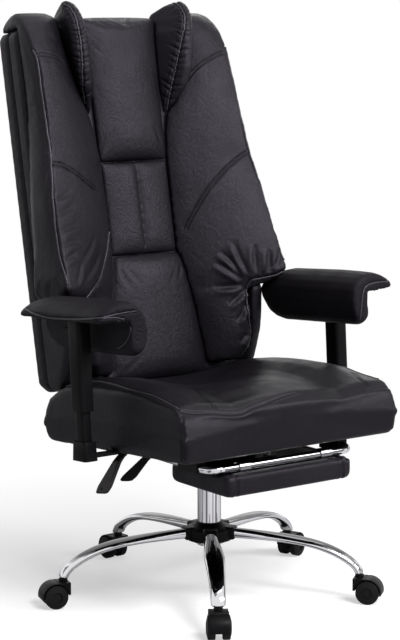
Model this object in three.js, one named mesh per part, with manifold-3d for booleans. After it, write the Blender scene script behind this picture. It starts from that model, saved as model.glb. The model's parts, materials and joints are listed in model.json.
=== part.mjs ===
// A reclining office chair with a fold-out footrest, in millimetres, +Z up. The chair faces -Y, and the
// seated person's left is +X. The origin is on the floor, at the middle of the overall width and depth.
import * as THREE from "three";
import { mergeVertices } from "three/addons/utils/BufferGeometryUtils.js";
import Module from "manifold-3d";

const wasm = await Module();
wasm.setup();

// Clearances and finish of the cuts
const seatGap = 0.3;
const runningGap = 0.5;
const cutOverrun = 20;

// Stance
const columnSetForward = 49.5;
const frontArmBearing = 236.8;

// Casters
const casterCount = 5;
const wheelRadius = 25;
const wheelSides = 20;
const wheelWidth = 16;
const wheelInset = 7;
const wheelDish = 3;
const wheelHubRadius = 9;
const casterTrail = 20;
const axleRadius = 4;
const hoodWall = 2.5;
const hoodClearance = 1.5;
const webThickness = 11;
const neckRadius = 9;
const neckHeight = 6;
const stemRadius = 5.2;
const stemLength = 13;

// Star base
const tipRadius = 325;
const armRise = 70;
const armRootWidth = 24;
const armWaistWidth = 43;
const armTipWidth = 30;
const armRootDepth = 22;
const armWaistDepth = 14;
const armTipDepth = 17;
const hubRadius = 34;
const hubHeight = 34;
const bootRadius = 51;
const bootHeight = 27;
const bootLipRadius = 31;
const bootLipHeight = 12;

// Gas lift
const columnRadius = 25;
const columnWall = 2;
const columnFootDrop = 5;
const columnHeadroom = 25;
const liftCylinderRadius = 14;
const liftCylinderBore = 6.8;
const liftCylinderClearance = 14;
const liftSocketDepth = 25;
const liftRodRadius = 5;
const liftRodHeadroom = 47;
const thrustBearingRadius = 12;
const thrustBearingHeight = 6;
const clipRadius = 12;
const clipThickness = 2;
const bushLength = 82;

// Seat
const seatHeight = 341;
const seatTilt = 4.1;
const seatHalfWidth = 265;
const seatFrontReach = 279;
const seatRearReach = 209;
const seatFrontThickness = 100;
const seatMiddleThickness = 112;
const seatRearThickness = 104;
const seatBulge = 12;
const seatBolsterRise = 24;
const seatHipDish = 26;
const seatThighDish = 13;
const seatEdgeRound = 16;
const boardThickness = 12;
const boardInset = 28;
const plateThickness = 3;
const plateHalfWidth = 105;
const plateFrontReach = 95;
const plateRearReach = 150;

// Tilt mechanism
const housingHalfWidth = 78;
const housingFrontReach = 62;
const housingRearReach = 112;
const housingDepth = 42;
const tailHalfWidth = 35;
const tailWall = 5;
const tailDepth = 27;
const pivotSetback = 231.6;
const pivotHeight = 13.1;
const pivotEyeRadius = 14;
const pinRadius = 6;
const barrelRadius = 12;
const barrelHalfLength = 12;
const springWireRadius = 1.4;
const springTurns = 4;
const springTurnGap = 0.5;

// Levers on the seated person's right
const leverRodRadius = 4;
const leverRodReach = 165;
const leverDrop = 30;
const leverSwing = 6;
const leverPivotReach = 68;
const gripWidth = 31;
const gripThickness = 9;
const gripFall = 80;
const gripTurn = 40;
const liftLeverSetback = 86;
const liftGripOutset = 58;
const liftGripSetback = 12;
const reclineLeverSetback = 30;
const reclineRodReach = 134;
const reclineGripFall = 56;
const reclineGripOutset = 46;
const reclineGripSetback = 40;

// Footrest
const railHalfWidth = 182;
const railRadius = 8.5;
const railDrop = 11;
const railFrontReach = 252;
const railRearReach = 30;
const railCornerRadius = 34;
const guideWidth = 24;
const guideLength = 62;
const guideFrontReach = 218;
const padHalfWidth = 157;
const padFrontReach = 275;
const padDepth = 190;
const padThickness = 40;
const padEdgeRound = 9;
const padCrown = 4;
const hingePlateThickness = 3;
const hingePlateInset = 22;
const strapWidth = 26;
const strapSpacing = 104;

// Armrests
const postHalfSpacing = 331;
const postSetForward = 30;
const postWidth = 22;
const postDepth = 30;
const postCornerRadius = 8;
const footWidth = 33;
const footDepth = 52;
const footTopWidth = 30;
const footTopDepth = 47;
const footBelow = 11;
const footAbove = 28;
const bracketThickness = 6;
const bracketWidth = 29;
const bracketInnerReach = 205;
const sleeveWidth = 32;
const sleeveDepth = 42;
const sleeveWall = 4;
const leftArmNotch = 10;
const sleeveBottom = 89;
const sleeveTop = 271;
const armLoweringTravel = 50;
const postHeadroom = 3;
const topPlateThickness = 6;
const topPlateHalfWidth = 24;
const topPlateFrontReach = 118;
const topPlateRearReach = 118;
const armPadOuter = 376;
const armPadInner = 266;
const armPadFrontReach = 174;
const armPadFrontRound = 6;
const armPadRearReach = 122;
const armPadRearSweep = 24;
const armPadEdgeRound = 7;
const armPadCrown = 37;
const armFlapClearance = 4;
const armFlapDrop = 73;
const triggerLength = 30;
const triggerWidth = 12;
const triggerThickness = 6;
const triggerBelowPad = 16;
const releaseRodRadius = 1.8;
const releaseRodEngagement = 10;

// Backrest, in the back's own frame: across, up along the back, and forward from its rear plane
const recline = 11.3;
const pivotBelowBack = 65;
const backHalfWidth = 254;
const backHeight = 790;
const backBaseRise = 19.5;
const coverRearDepth = 12;
const coverRearCrown = 6;
const coverThickness = 25;
const bodyThickness = 40;
const bodyLowerBulge = 85;
const backEdgeRound = 4;
const backCornerRound = 18;
const woodThickness = 15;
const woodInset = 48;
const barThickness = 6;
const barHalfWidth = 25;
const barHeight = 300;

// Wings, ears and the middle column of the back
const wingTop = 823;
const wingBottom = 42;
const wingHalfSpan = 287;
const wingReach = 199;
const wingInnerThickness = 8;
const wingCrown = 17;
const earTop = 838;
const earBottom = 600;
const earRootSpacing = 104;
const earLean = 46;
const earDepth = 137;
const earThickness = 32;
const earRootFill = 36;
const headBottom = 496;
const headTop = 808;
const headHalfWidth = 98;
const headCrown = 24;
const middleBottom = 292;
const middleHalfWidth = 88;
const middleCrown = 15;
const channelDepth = 9;
const lumbarBottom = 18;
const lumbarHalfWidth = 92;
const lumbarFootHalfWidth = 140;
const lumbarCrown = 32;
const panelSpacing = 1;
const panelEdge = 4;

const radians = THREE.MathUtils.degToRad;
const point = (x, y, z) => new THREE.Vector3(x, y, z);
const mix = THREE.MathUtils.lerp;

// A closed geometry as a solid for joining and cutting
function toSolid(geometry) {
  const bare = new THREE.BufferGeometry();
  bare.setAttribute("position", geometry.getAttribute("position"));
  bare.setIndex(geometry.index);
  const merged = mergeVertices(bare);
  const vertProperties = new Float32Array(merged.getAttribute("position").array);
  const triVerts = new Uint32Array(merged.index.array);
  return new wasm.Manifold(new wasm.Mesh({ numProp: 3, vertProperties, triVerts }));
}

function toGeometry(solid) {
  const mesh = solid.getMesh();
  const geometry = new THREE.BufferGeometry();
  geometry.setAttribute("position", new THREE.BufferAttribute(mesh.vertProperties, 3));
  geometry.setIndex(new THREE.BufferAttribute(mesh.triVerts, 1));
  return geometry;
}

function join(first, ...others) {
  return toGeometry(others.reduce((sum, other) => sum.add(toSolid(other)), toSolid(first)));
}

function cut(body, ...tools) {
  return toGeometry(tools.reduce((rest, tool) => rest.subtract(toSolid(tool)), toSolid(body)));
}

// A box between two corners
function block(low, high) {
  const size = high.clone().sub(low);
  const middle = low.clone().add(high).multiplyScalar(0.5);
  return new THREE.BoxGeometry(size.x, size.y, size.z).translate(middle.x, middle.y, middle.z);
}

// A round bar between two points
function bar(start, end, radius, sides = 20) {
  const along = end.clone().sub(start);
  const turn = new THREE.Quaternion().setFromUnitVectors(point(0, 1, 0), along.clone().normalize());
  const geometry = new THREE.CylinderGeometry(radius, radius, along.length(), sides);
  const middle = start.clone().add(end).multiplyScalar(0.5);
  return geometry.applyQuaternion(turn).translate(middle.x, middle.y, middle.z);
}

// A body turned about the Z axis from [radius, height] pairs
function turned(profile, sides = 32) {
  const points = profile.map(([radius, height]) => new THREE.Vector2(radius, height));
  points.push(points[0].clone());
  const geometry = new THREE.LatheGeometry(points, sides).rotateX(radians(90));
  return outward(geometry);
}

// The same geometry with its faces pointing out
function outward(geometry) {
  const bare = new THREE.BufferGeometry();
  bare.setAttribute("position", geometry.getAttribute("position"));
  bare.setIndex(geometry.index);
  const merged = mergeVertices(bare);
  const solidIndex = merged.index.array;
  const places = merged.getAttribute("position");
  const corner = (place) => point().fromBufferAttribute(places, place);
  const triangles = [];
  let volume = 0;
  for (let at = 0; at < solidIndex.length; at += 3) {
    const [a, b, c] = [solidIndex[at], solidIndex[at + 1], solidIndex[at + 2]];
    if (a === b || b === c || c === a) continue;
    triangles.push([a, b, c]);
    volume += corner(a).dot(corner(b).cross(corner(c)));
  }
  const facing = volume < 0 ? triangles.map(([a, b, c]) => [a, c, b]) : triangles;
  merged.setIndex(facing.flat());
  return merged;
}

// A closed body through rings of equally many points, capped flat at both ends
function loft(rings) {
  const count = rings[0].length;
  const middles = [rings[0], rings.at(-1)].map((ring) =>
    ring.reduce((sum, place) => sum.add(place), point(0, 0, 0)).divideScalar(count),
  );
  const places = [...rings.flat(), ...middles];
  const triangles = [];
  const lastRing = (rings.length - 1) * count;
  const centre = rings.length * count;
  for (let ring = 0; ring < rings.length - 1; ring++) {
    for (let side = 0; side < count; side++) {
      const a = ring * count + side;
      const b = ring * count + ((side + 1) % count);
      triangles.push(a, b, b + count, a, b + count, a + count);
    }
  }
  for (let side = 0; side < count; side++) {
    const next = (side + 1) % count;
    triangles.push(next, side, centre, lastRing + side, lastRing + next, centre + 1);
  }
  const geometry = new THREE.BufferGeometry().setFromPoints(places);
  geometry.setIndex(triangles);
  return outward(geometry);
}

const evenly = (share, start, end) => (share - start) / (end - start);
const smoothly = THREE.MathUtils.smoothstep;

// The value at a share of a table of [share, value] rows, smoothed between its rows
function along(table, share, pace = smoothly) {
  const last = table.findIndex(([start]) => start >= share);
  if (last <= 0) return table[last < 0 ? table.length - 1 : 0][1];
  const [[start, from], [end, to]] = [table[last - 1], table[last]];
  return mix(from, to, pace(share, start, end));
}

const shares = (count) => Array.from({ length: count + 1 }, (_, step) => step / count);

// The outline of a rounded rectangle as [across, deep] pairs, its corners turned in a few steps
function roundedOutline(halfAcross, halfDeep, radius = Math.min(halfAcross, halfDeep), steps = 3) {
  const corners = [
    [1, 1],
    [-1, 1],
    [-1, -1],
    [1, -1],
  ];
  return corners.flatMap(([signAcross, signDeep], corner) =>
    shares(steps).map((share) => {
      const angle = (Math.PI / 2) * (corner + share);
      return [
        signAcross * (halfAcross - radius) + radius * Math.cos(angle),
        signDeep * (halfDeep - radius) + radius * Math.sin(angle),
      ];
    }),
  );
}

// An upright bar of rounded section, between two heights, with its own size at each end
function roundedPost(low, high, [halfX, halfY], [topHalfX, topHalfY] = [halfX, halfY]) {
  const ring = (x, y, z) =>
    roundedOutline(x, y, postCornerRadius).map(([across, deep]) => point(across, deep, z));
  return loft([ring(halfX, halfY, low), ring(topHalfX, topHalfY, high)]);
}

function mirrored(geometry) {
  return outward(geometry.clone().scale(-1, 1, 1));
}

const finishes = {
  leather: { color: 0x17161a, roughness: 0.42, metalness: 0 },
  chrome: { color: 0xdadce0, roughness: 0.06, metalness: 1 },
  nylon: { color: 0x1b1b1d, roughness: 0.55, metalness: 0 },
  glossPlastic: { color: 0x17110f, roughness: 0.18, metalness: 0 },
  blackSteel: { color: 0x1c1c1e, roughness: 0.45, metalness: 0.6 },
  steel: { color: 0x9a9da1, roughness: 0.35, metalness: 1 },
  plywood: { color: 0xb48a5a, roughness: 0.7, metalness: 0 },
};

function piece(name, geometry, finish) {
  const mesh = new THREE.Mesh(geometry, new THREE.MeshStandardMaterial(finishes[finish]));
  mesh.name = name;
  mesh.geometry.computeVertexNormals();
  return mesh;
}

// Heights of the caster and the base, from the floor up
const wheelAxisHeight = wheelRadius * Math.cos(Math.PI / wheelSides);
const hoodRadius = wheelRadius + hoodClearance + hoodWall;
const neckTop = wheelAxisHeight + hoodRadius + neckHeight;
const armTipHeight = neckTop + seatGap;
const armRootHeight = armTipHeight + armRise;

// A pair of twin wheels on one axle, turned about X and standing on the floor
function wheelPair() {
  const outer = wheelInset + wheelWidth;
  const profile = [
    [0, -outer + wheelDish],
    [wheelRadius - 2 * wheelDish, -outer],
    [wheelRadius, -outer + wheelDish],
    [wheelRadius, -wheelInset],
    [axleRadius, -wheelInset],
    [axleRadius, wheelInset],
    [wheelRadius, wheelInset],
    [wheelRadius, outer - wheelDish],
    [wheelRadius - 2 * wheelDish, outer],
    [0, outer - wheelDish],
  ];
  const flatDown = Math.PI / wheelSides;
  return turned(profile, wheelSides).rotateZ(flatDown).rotateY(radians(90)).translate(0, 0, wheelAxisHeight);
}

// The fork, hood and stem of a caster, with the wheel axis over the origin and the stem in front of it
function casterHood() {
  const clearRadius = wheelRadius + hoodClearance;
  const halfWidth = wheelInset + wheelWidth - wheelDish;
  const shell = new THREE.Shape();
  shell.absarc(0, 0, hoodRadius, radians(-12), radians(150), false);
  shell.absarc(0, 0, clearRadius, radians(150), radians(-12), true);
  const web = new THREE.Shape();
  web.absarc(0, 0, clearRadius + hoodWall / 2, radians(-12), radians(150), false);
  web.absarc(0, 0, wheelHubRadius, radians(210), radians(300), false);
  const slab = (shape, width) => {
    const options = { depth: width, bevelEnabled: false, curveSegments: 7 };
    const upright = new THREE.Matrix4().makeBasis(point(0, -1, 0), point(0, 0, 1), point(-1, 0, 0));
    return new THREE.ExtrudeGeometry(shape, options).translate(0, 0, -width / 2).applyMatrix4(upright);
  };
  const neckLow = point(0, -casterTrail, 0);
  const neckHigh = point(0, -casterTrail, hoodRadius + neckHeight);
  const stemHigh = neckHigh.clone().add(point(0, 0, stemLength));
  const tire = bar(point(-halfWidth * 2, 0, 0), point(halfWidth * 2, 0, 0), clearRadius, 20);
  const neck = cut(bar(neckLow, neckHigh, neckRadius, 12), tire);
  const bore = axleRadius + runningGap;
  const axleHole = bar(point(-cutOverrun, 0, 0), point(cutOverrun, 0, 0), bore, 12);
  const stem = bar(neckHigh.clone().setZ(hoodRadius), stemHigh, stemRadius, 12);
  const body = join(slab(shell, 2 * halfWidth), slab(web, webThickness), neck, stem);
  return cut(body, axleHole).translate(0, casterTrail, wheelAxisHeight);
}

// One arm of the star base, reaching out along +X; swell widens it all round for cutting its seat
function baseArm(swell = 0) {
  const stationShares = [
    // out along the arm, up from the tip, width, depth, and downward pitch as a share of a right angle
    [0.06, 1, 0, 0, 0],
    [0.16, 1, 0.1, 0.1, 0.01],
    [0.3, 0.985, 0.35, 0.4, 0.03],
    [0.46, 0.955, 0.8, 0.8, 0.06],
    [0.6, 0.9, 1, 1, 0.12],
    [0.73, 0.79, 1, 1, 0.24],
    [0.84, 0.62, 1, 1, 0.4],
    [0.925, 0.41, 1, 1, 0.57],
    [0.98, 0.2, 1, 1, 0.82],
    [1, 0, 1, 1, 1],
  ];
  const rings = stationShares.map(([outShare, upShare, widthShare, depthShare, pitchShare], station) => {
    const tipShare = Math.max(0, (outShare - 0.6) / 0.4);
    const width = mix(mix(armRootWidth, armWaistWidth, widthShare), armTipWidth, tipShare);
    const depth = mix(mix(armRootDepth, armWaistDepth, depthShare), armTipDepth, tipShare);
    const pitch = radians(90) * pitchShare;
    const place = point(tipRadius * outShare, 0, armTipHeight + armRise * upShare);
    const rise = station === stationShares.length - 1 ? 0 : Math.cos(pitch);
    const outline = roundedOutline(width / 2 + swell, depth / 2 + swell, (depth / 2) * 0.8 + swell, 2);
    return outline.map(([across, up]) => point(up * Math.sin(pitch), across, up * rise).add(place));
  });
  return loft(rings);
}

const armBearings = shares(casterCount)
  .slice(0, casterCount)
  .map((share) => radians(frontArmBearing) + 2 * Math.PI * share);

const hubTop = armRootHeight + armRootDepth / 2;
const hubBottom = hubTop - hubHeight;
const hubBore = columnRadius + seatGap;

function starBase() {
  const hub = turned([
    [hubBore, hubBottom],
    [hubRadius, hubBottom],
    [hubRadius, hubTop],
    [hubBore, hubTop],
  ]);
  const columnHole = bar(point(0, 0, hubBottom - cutOverrun), point(0, 0, hubTop + cutOverrun), hubBore, 32);
  const stemHole = bar(
    point(tipRadius, 0, armTipHeight - cutOverrun),
    point(tipRadius, 0, armTipHeight + stemLength + seatGap),
    stemRadius + runningGap,
    12,
  );
  const arm = cut(baseArm(), stemHole);
  const arms = armBearings.map((bearing) => arm.clone().rotateZ(bearing));
  return cut(join(hub, ...arms), columnHole);
}

// The boot over the hub, open for the arms
function hubBoot() {
  const bootBottom = hubTop - bootHeight;
  const shell = turned([
    [hubRadius + seatGap, bootBottom],
    [bootRadius - seatGap, bootBottom],
    [bootRadius, bootBottom + bootHeight / 2],
    [bootRadius - seatGap, hubTop],
    [bootLipRadius, hubTop + bootLipHeight - runningGap],
    [hubBore, hubTop + bootLipHeight],
    [hubBore, hubTop + seatGap],
    [hubRadius + seatGap, hubTop + seatGap],
  ]);
  const armTools = armBearings.map((bearing) => baseArm(seatGap).rotateZ(bearing));
  return cut(shell, ...armTools);
}

const columnBottom = hubBottom - columnFootDrop;
const mechanismTop = -plateThickness - 2 * seatGap;
const columnTop = seatHeight + mechanismTop - housingDepth - columnHeadroom;

// The chromed outer tube, with a floor that the lift rod passes through
function columnTube() {
  const inner = columnRadius - columnWall;
  return turned([
    [liftRodRadius + runningGap, columnBottom],
    [columnRadius, columnBottom],
    [columnRadius, columnTop],
    [inner, columnTop],
    [inner, columnBottom + columnWall],
    [liftRodRadius + runningGap, columnBottom + columnWall],
  ]);
}

function guideBush() {
  const outer = columnRadius - columnWall - seatGap;
  const inner = liftCylinderRadius + runningGap;
  const low = columnTop - bushLength;
  return turned([
    [inner, low],
    [outer, low],
    [outer, columnTop],
    [inner, columnTop],
  ]);
}

const bearingBottom = columnBottom + columnWall + seatGap;
const bearingTop = bearingBottom + thrustBearingHeight;
const cylinderBottom = bearingTop + liftCylinderClearance;
const cylinderTop = seatHeight - housingDepth + liftSocketDepth;
const cylinderBoreTop = cylinderTop - 2 * liftCylinderRadius;

function liftRod() {
  const low = columnBottom - clipThickness - 2 * seatGap;
  const rodTop = cylinderBoreTop - liftRodHeadroom;
  return turned([
    [0, low],
    [liftRodRadius, low],
    [liftRodRadius, bearingBottom],
    [thrustBearingRadius, bearingBottom],
    [thrustBearingRadius, bearingTop],
    [liftRodRadius, bearingTop],
    [liftRodRadius, rodTop],
    [0, rodTop],
  ]);
}

function retainingClip() {
  const top = columnBottom - seatGap;
  const low = top - clipThickness;
  const inner = liftRodRadius + seatGap;
  return turned([
    [inner, low],
    [clipRadius, low],
    [clipRadius, top],
    [inner, top],
  ]);
}

function liftCylinder() {
  return turned([
    [liftCylinderBore, cylinderBottom],
    [liftCylinderRadius, cylinderBottom],
    [liftCylinderRadius, cylinderTop],
    [0, cylinderTop],
    [0, cylinderBoreTop],
    [liftCylinderBore, cylinderBoreTop],
  ]);
}

// The tilt mechanism, in the seat's frame: its box, its tail and the eyes of the recline pivot
function mechanismHousing() {
  const box = block(
    point(-housingHalfWidth, -housingFrontReach, mechanismTop - housingDepth),
    point(housingHalfWidth, housingRearReach, mechanismTop),
  );
  const tailEnd = pivotSetback - 2 * pivotEyeRadius;
  const tailBottom = mechanismTop - tailDepth;
  const side = new THREE.Shape();
  side.moveTo(housingRearReach - tailWall, mechanismTop);
  side.lineTo(housingRearReach - tailWall, tailBottom);
  side.lineTo(tailEnd, tailBottom);
  side.absarc(pivotSetback, pivotHeight, pivotEyeRadius, radians(-50), radians(135), false);
  side.lineTo(tailEnd + pivotEyeRadius / 2, mechanismTop);
  const options = { depth: tailWall, bevelEnabled: false, curveSegments: 12 };
  const upright = new THREE.Matrix4().makeBasis(point(0, 1, 0), point(0, 0, 1), point(1, 0, 0));
  const cheek = new THREE.ExtrudeGeometry(side, options).applyMatrix4(upright);
  const cheeks = [-tailHalfWidth, tailHalfWidth - tailWall].map((x) => cheek.clone().translate(x, 0, 0));
  const floor = block(
    point(-tailHalfWidth + tailWall / 2, housingRearReach - tailWall, tailBottom),
    point(tailHalfWidth - tailWall / 2, tailEnd, tailBottom + tailWall),
  );
  const pinHole = bar(
    point(-housingHalfWidth, pivotSetback, pivotHeight),
    point(housingHalfWidth, pivotSetback, pivotHeight),
    pinRadius + seatGap,
  );
  const socketTop = cylinderTop - seatHeight + seatGap;
  const socketBore = liftCylinderRadius + seatGap;
  const socketLow = cylinderBottom - seatHeight;
  const socket = bar(point(0, 0, socketLow), point(0, 0, socketTop), socketBore, 32);
  socket.rotateX(radians(seatTilt));
  const slots = leverPlans.map(({ setback, height }) => {
    const room = leverRodRadius + 2 * seatGap;
    const swing = (housingHalfWidth - leverPivotReach) * Math.tan(radians(leverSwing));
    const rise = leverRodRadius + swing + seatGap;
    return block(
      point(-housingHalfWidth - cutOverrun, setback - room, height - rise),
      point(-leverPivotReach + runningGap, setback + room, height + rise),
    );
  });
  return cut(join(box, ...cheeks, floor), pinHole, socket, ...slots);
}

const leverHeight = -leverDrop;
const leverPlans = [
  {
    name: "lift_lever",
    setback: liftLeverSetback,
    height: leverHeight,
    reach: leverRodReach,
    fall: gripFall,
    outset: liftGripOutset,
    trail: liftGripSetback,
    finish: "glossPlastic",
  },
  {
    name: "recline_lever",
    setback: reclineLeverSetback,
    height: leverHeight,
    reach: reclineRodReach,
    fall: reclineGripFall,
    outset: reclineGripOutset,
    trail: reclineGripSetback,
    finish: "nylon",
  },
];

// The steel rod of a lever, in the seat's frame
function leverRod({ setback, height, reach }) {
  return bar(point(-leverPivotReach, setback, height), point(-reach, setback, height), leverRodRadius, 16);
}

// The paddle of a lever, drooping outward and back from the rod's end, with a socket for the rod
function leverGrip({ setback, height, reach, fall, outset, trail }) {
  const gripShares = [
    // along the paddle, fall, width, thickness
    [0, 0, 0.42, 1.35],
    [0.15, 0.04, 0.5, 1.4],
    [0.36, 0.2, 0.6, 1.15],
    [0.6, 0.5, 0.8, 1],
    [0.85, 0.82, 1, 1],
    [0.97, 0.97, 0.9, 0.8],
    [1, 1, 0.65, 0.5],
  ];
  const start = point(-reach + gripThickness, setback, height);
  const turn = radians(gripTurn);
  const rings = gripShares.map(([outShare, fallShare, widthShare, thicknessShare]) => {
    const place = start.clone().add(point(-outset * outShare, trail * fallShare, -fall * fallShare));
    const lean = Math.atan2(fall * Math.min(1, fallShare * 3), outset);
    const flat = Math.min(1, outShare * 3);
    const halfWidth = (gripWidth / 2) * widthShare;
    const halfThickness = (gripThickness / 2) * thicknessShare;
    const wideway = point(Math.sin(turn * flat), -Math.cos(turn * flat), 0);
    const fallway = point(-Math.cos(lean), 0, -Math.sin(lean));
    const thickway = fallway.cross(wideway).normalize();
    return roundedOutline(halfWidth, halfThickness, halfThickness, 2).map(([wide, thick]) =>
      place.clone().addScaledVector(wideway, wide).addScaledVector(thickway, thick),
    );
  });
  const socket = bar(
    point(0, setback, height),
    point(-reach - seatGap, setback, height),
    leverRodRadius + seatGap,
    16,
  );
  return cut(loft(rings), socket);
}

function reclinePin() {
  const reach = tailHalfWidth + tailWall / 2;
  return bar(point(-reach, pivotSetback, pivotHeight), point(reach, pivotSetback, pivotHeight), pinRadius);
}

// The torsion spring round the pin, between the barrel and one cheek
function reclineSpring() {
  const coilRadius = pinRadius + springWireRadius + runningGap;
  const pitch = 2 * springWireRadius + springTurnGap;
  const steps = 8 * springTurns;
  const start = barrelHalfLength + seatGap + springWireRadius;
  const rings = shares(steps).map((share) => {
    const angle = 2 * Math.PI * springTurns * share;
    const radial = point(0, Math.cos(angle), Math.sin(angle));
    const middle = point(start + pitch * springTurns * share, pivotSetback, pivotHeight);
    middle.addScaledVector(radial, coilRadius);
    return shares(5)
      .slice(0, 5)
      .map((turn) => {
        const round = 2 * Math.PI * turn;
        return middle
          .clone()
          .addScaledVector(radial, springWireRadius * Math.cos(round))
          .add(point(springWireRadius * Math.sin(round), 0, 0));
      });
  });
  return loft(rings);
}

function seatPlate() {
  return block(
    point(-plateHalfWidth, -plateFrontReach, -plateThickness - seatGap),
    point(plateHalfWidth, plateRearReach, -seatGap),
  );
}

const boardHalfWidth = seatHalfWidth - boardInset;
const boardFront = -seatFrontReach + boardInset;
const boardRear = seatRearReach - boardInset / 2;

function seatBoard() {
  return block(point(-boardHalfWidth, boardFront, 0), point(boardHalfWidth, boardRear, boardThickness));
}

// The seat cushion: raised side bolsters, a dished hip area, two thigh hollows and rounded ends
function seatCushion() {
  const frontStationShares = [0, 0.012, 0.045, 0.1, 0.17, 0.26, 0.36];
  const rearStationShares = [0.46, 0.56, 0.66, 0.76, 0.86, 0.93, 0.975, 1];
  const stationShares = [...frontStationShares, ...rearStationShares];
  const halfAcrossShares = [0.17, 0.34, 0.5, 0.66, 0.8, 0.92, 1];
  const acrossShares = [...halfAcrossShares.map((share) => -share).reverse(), 0, ...halfAcrossShares];
  const edgeShares = [
    [0, 0.86],
    [0.012, 0.95],
    [0.06, 1],
    [0.94, 1],
    [0.985, 0.95],
    [1, 0.88],
  ];
  const thicknessByShare = [
    [0, seatFrontThickness - seatEdgeRound],
    [0.05, seatFrontThickness],
    [0.4, seatMiddleThickness],
    [0.85, seatRearThickness],
    [0.97, seatRearThickness - seatEdgeRound],
    [1, seatRearThickness - 2 * seatEdgeRound],
  ];
  const bolsterShares = [
    [0, 0],
    [0.08, 0.35],
    [0.3, 0.8],
    [0.65, 1],
    [0.9, 0.7],
    [1, 0],
  ];
  const dishShares = [
    [0.1, 0],
    [0.66, 1],
    [0.98, 0.2],
  ];
  const thighShares = [
    [0, 0.5],
    [0.12, 1],
    [0.6, 0],
  ];
  const crownShares = [
    [0, 0.4],
    [0.2, 1.4],
    [0.8, 1.4],
    [1, 0.6],
  ];
  const near = (across, place, spread) => Math.exp(-(((Math.abs(across) - place) / spread) ** 2));
  const length = seatFrontReach + seatRearReach;
  const rings = stationShares.map((share) => {
    const squeeze = along(edgeShares, share);
    const half = seatHalfWidth * mix(0.97, 1, squeeze);
    const wall = along(thicknessByShare, share);
    const bolster = seatBolsterRise * along(bolsterShares, share);
    const lean = seatBulge * (share < 0.5 ? -1 : 1) * Math.max(0, Math.abs(2 * share - 1) * 8 - 7);
    const setback = -seatFrontReach + length * share;
    const top = acrossShares.map((across) => {
      const hump = bolster * near(across, 0.78, 0.26);
      const dish = seatHipDish * along(dishShares, share) * near(across, 0, 0.5);
      const thigh = seatThighDish * along(thighShares, share) * near(across, 0.5, 0.2);
      const crown = seatBulge * along(crownShares, share) * (1 - across ** 2);
      const top = wall + hump + crown - dish - thigh;
      return point(half * across, setback + lean * (1 - across ** 4) * 0.4, top);
    });
    const side = (sign) =>
      [0.12, 0.5, 0.86].map((rise) => {
        const out = half + (seatBulge / 2) * Math.sin(Math.PI * rise);
        return point(sign * out, setback + lean * Math.sin(Math.PI * rise), wall * rise);
      });
    const floor = [-1, 1].map((sign) => point(sign * (half - seatEdgeRound / 4), setback, 0));
    return [floor[0], ...side(-1), ...top, ...side(1).reverse(), floor[1]];
  });
  const pocket = block(
    point(-boardHalfWidth - seatGap, boardFront - seatGap, -cutOverrun),
    point(boardHalfWidth + seatGap, boardRear + seatGap, boardThickness + seatGap),
  );
  return cut(loft(rings), pocket);
}

const railHeight = seatHeight - railDrop;

// The U-shaped chrome frame of the footrest, level, in the chair's frame
function footrestFrame() {
  const half = railHalfWidth;
  const corner = railCornerRadius;
  const front = -railFrontReach;
  const at = (x, y) => point(x, y, railHeight);
  const sweep = roundedOutline(railRadius, railRadius);
  const stations = [
    [at(-half, railRearReach), 0],
    ...bendStations(-half, front, corner),
    ...bendStations(half, front, corner).reverse(),
    [at(half, railRearReach), 180],
  ];
  const rings = stations.map(([place, heading]) => {
    const turn = radians(heading);
    const sideways = point(Math.cos(turn), Math.sin(turn), 0);
    return sweep.map(([across, up]) => point(0, 0, up).addScaledVector(sideways, across).add(place));
  });
  return loft(rings);
}

// Places and headings round a corner of the footrest frame; a negative side turns left, a positive one right
function bendStations(side, front, corner) {
  const sign = Math.sign(side);
  const middle = point(side - sign * corner, front + corner, railHeight);
  return shares(5).map((share) => {
    const angle = radians(90) * share;
    const place = middle.clone().add(point(sign * corner * Math.cos(angle), -corner * Math.sin(angle), 0));
    return [place, sign < 0 ? 90 * share : 180 - 90 * share];
  });
}

// A block under the board that carries one rail of the footrest, in the seat's frame
function footrestGuide() {
  const tilt = radians(seatTilt);
  const railCentre = (guideLength - guideFrontReach) * Math.tan(tilt) - railDrop;
  const low = railCentre - railRadius - guideWidth / 6;
  const body = block(
    point(railHalfWidth - guideWidth / 2, -guideFrontReach, low),
    point(railHalfWidth + guideWidth / 2, -guideFrontReach + guideLength, -seatGap),
  );
  const front = point(railHalfWidth, -2 * railFrontReach, 0);
  const rear = point(railHalfWidth, railFrontReach, 0);
  const hole = bar(front, rear, railRadius + runningGap);
  hole.translate(0, 0, -railDrop).rotateX(tilt);
  return cut(body, hole);
}

const strapRadius = railRadius + seatGap + hingePlateThickness;
const hingePlateTop = railHeight - strapRadius + hingePlateThickness;
const padTop = railHeight - strapRadius - seatGap;

// The plate on the pad and the two straps that turn about the frame's front bar
function footrestHinge() {
  const rear = -padFrontReach + padDepth - hingePlateInset;
  const low = railHeight - strapRadius;
  const plate = block(
    point(-padHalfWidth + hingePlateInset, -railFrontReach - strapRadius + hingePlateThickness, low),
    point(padHalfWidth - hingePlateInset, rear, hingePlateTop),
  );
  const onBar = (x) => point(x, -railFrontReach, railHeight);
  const straps = [-strapSpacing, strapSpacing].map((x) =>
    bar(onBar(x - strapWidth / 2), onBar(x + strapWidth / 2), strapRadius),
  );
  const barHole = bar(onBar(-railHalfWidth), onBar(railHalfWidth), railRadius + seatGap);
  return cut(join(plate, ...straps), barHole);
}

// The pad's section from its side: a rounded rectangle with extra points across its faces
function padOutline(drawn) {
  const corners = roundedOutline(padHalfWidth - drawn, padThickness / 2 - drawn, padEdgeRound, 3);
  const acrossShares = [0.5, 0, -0.5];
  const face = (sign) =>
    acrossShares.map((share) => [sign * share * padHalfWidth, sign * (padThickness / 2 - drawn)]);
  return [...corners.slice(0, 4), ...face(1), ...corners.slice(4, 12), ...face(-1), ...corners.slice(12)];
}

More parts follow.
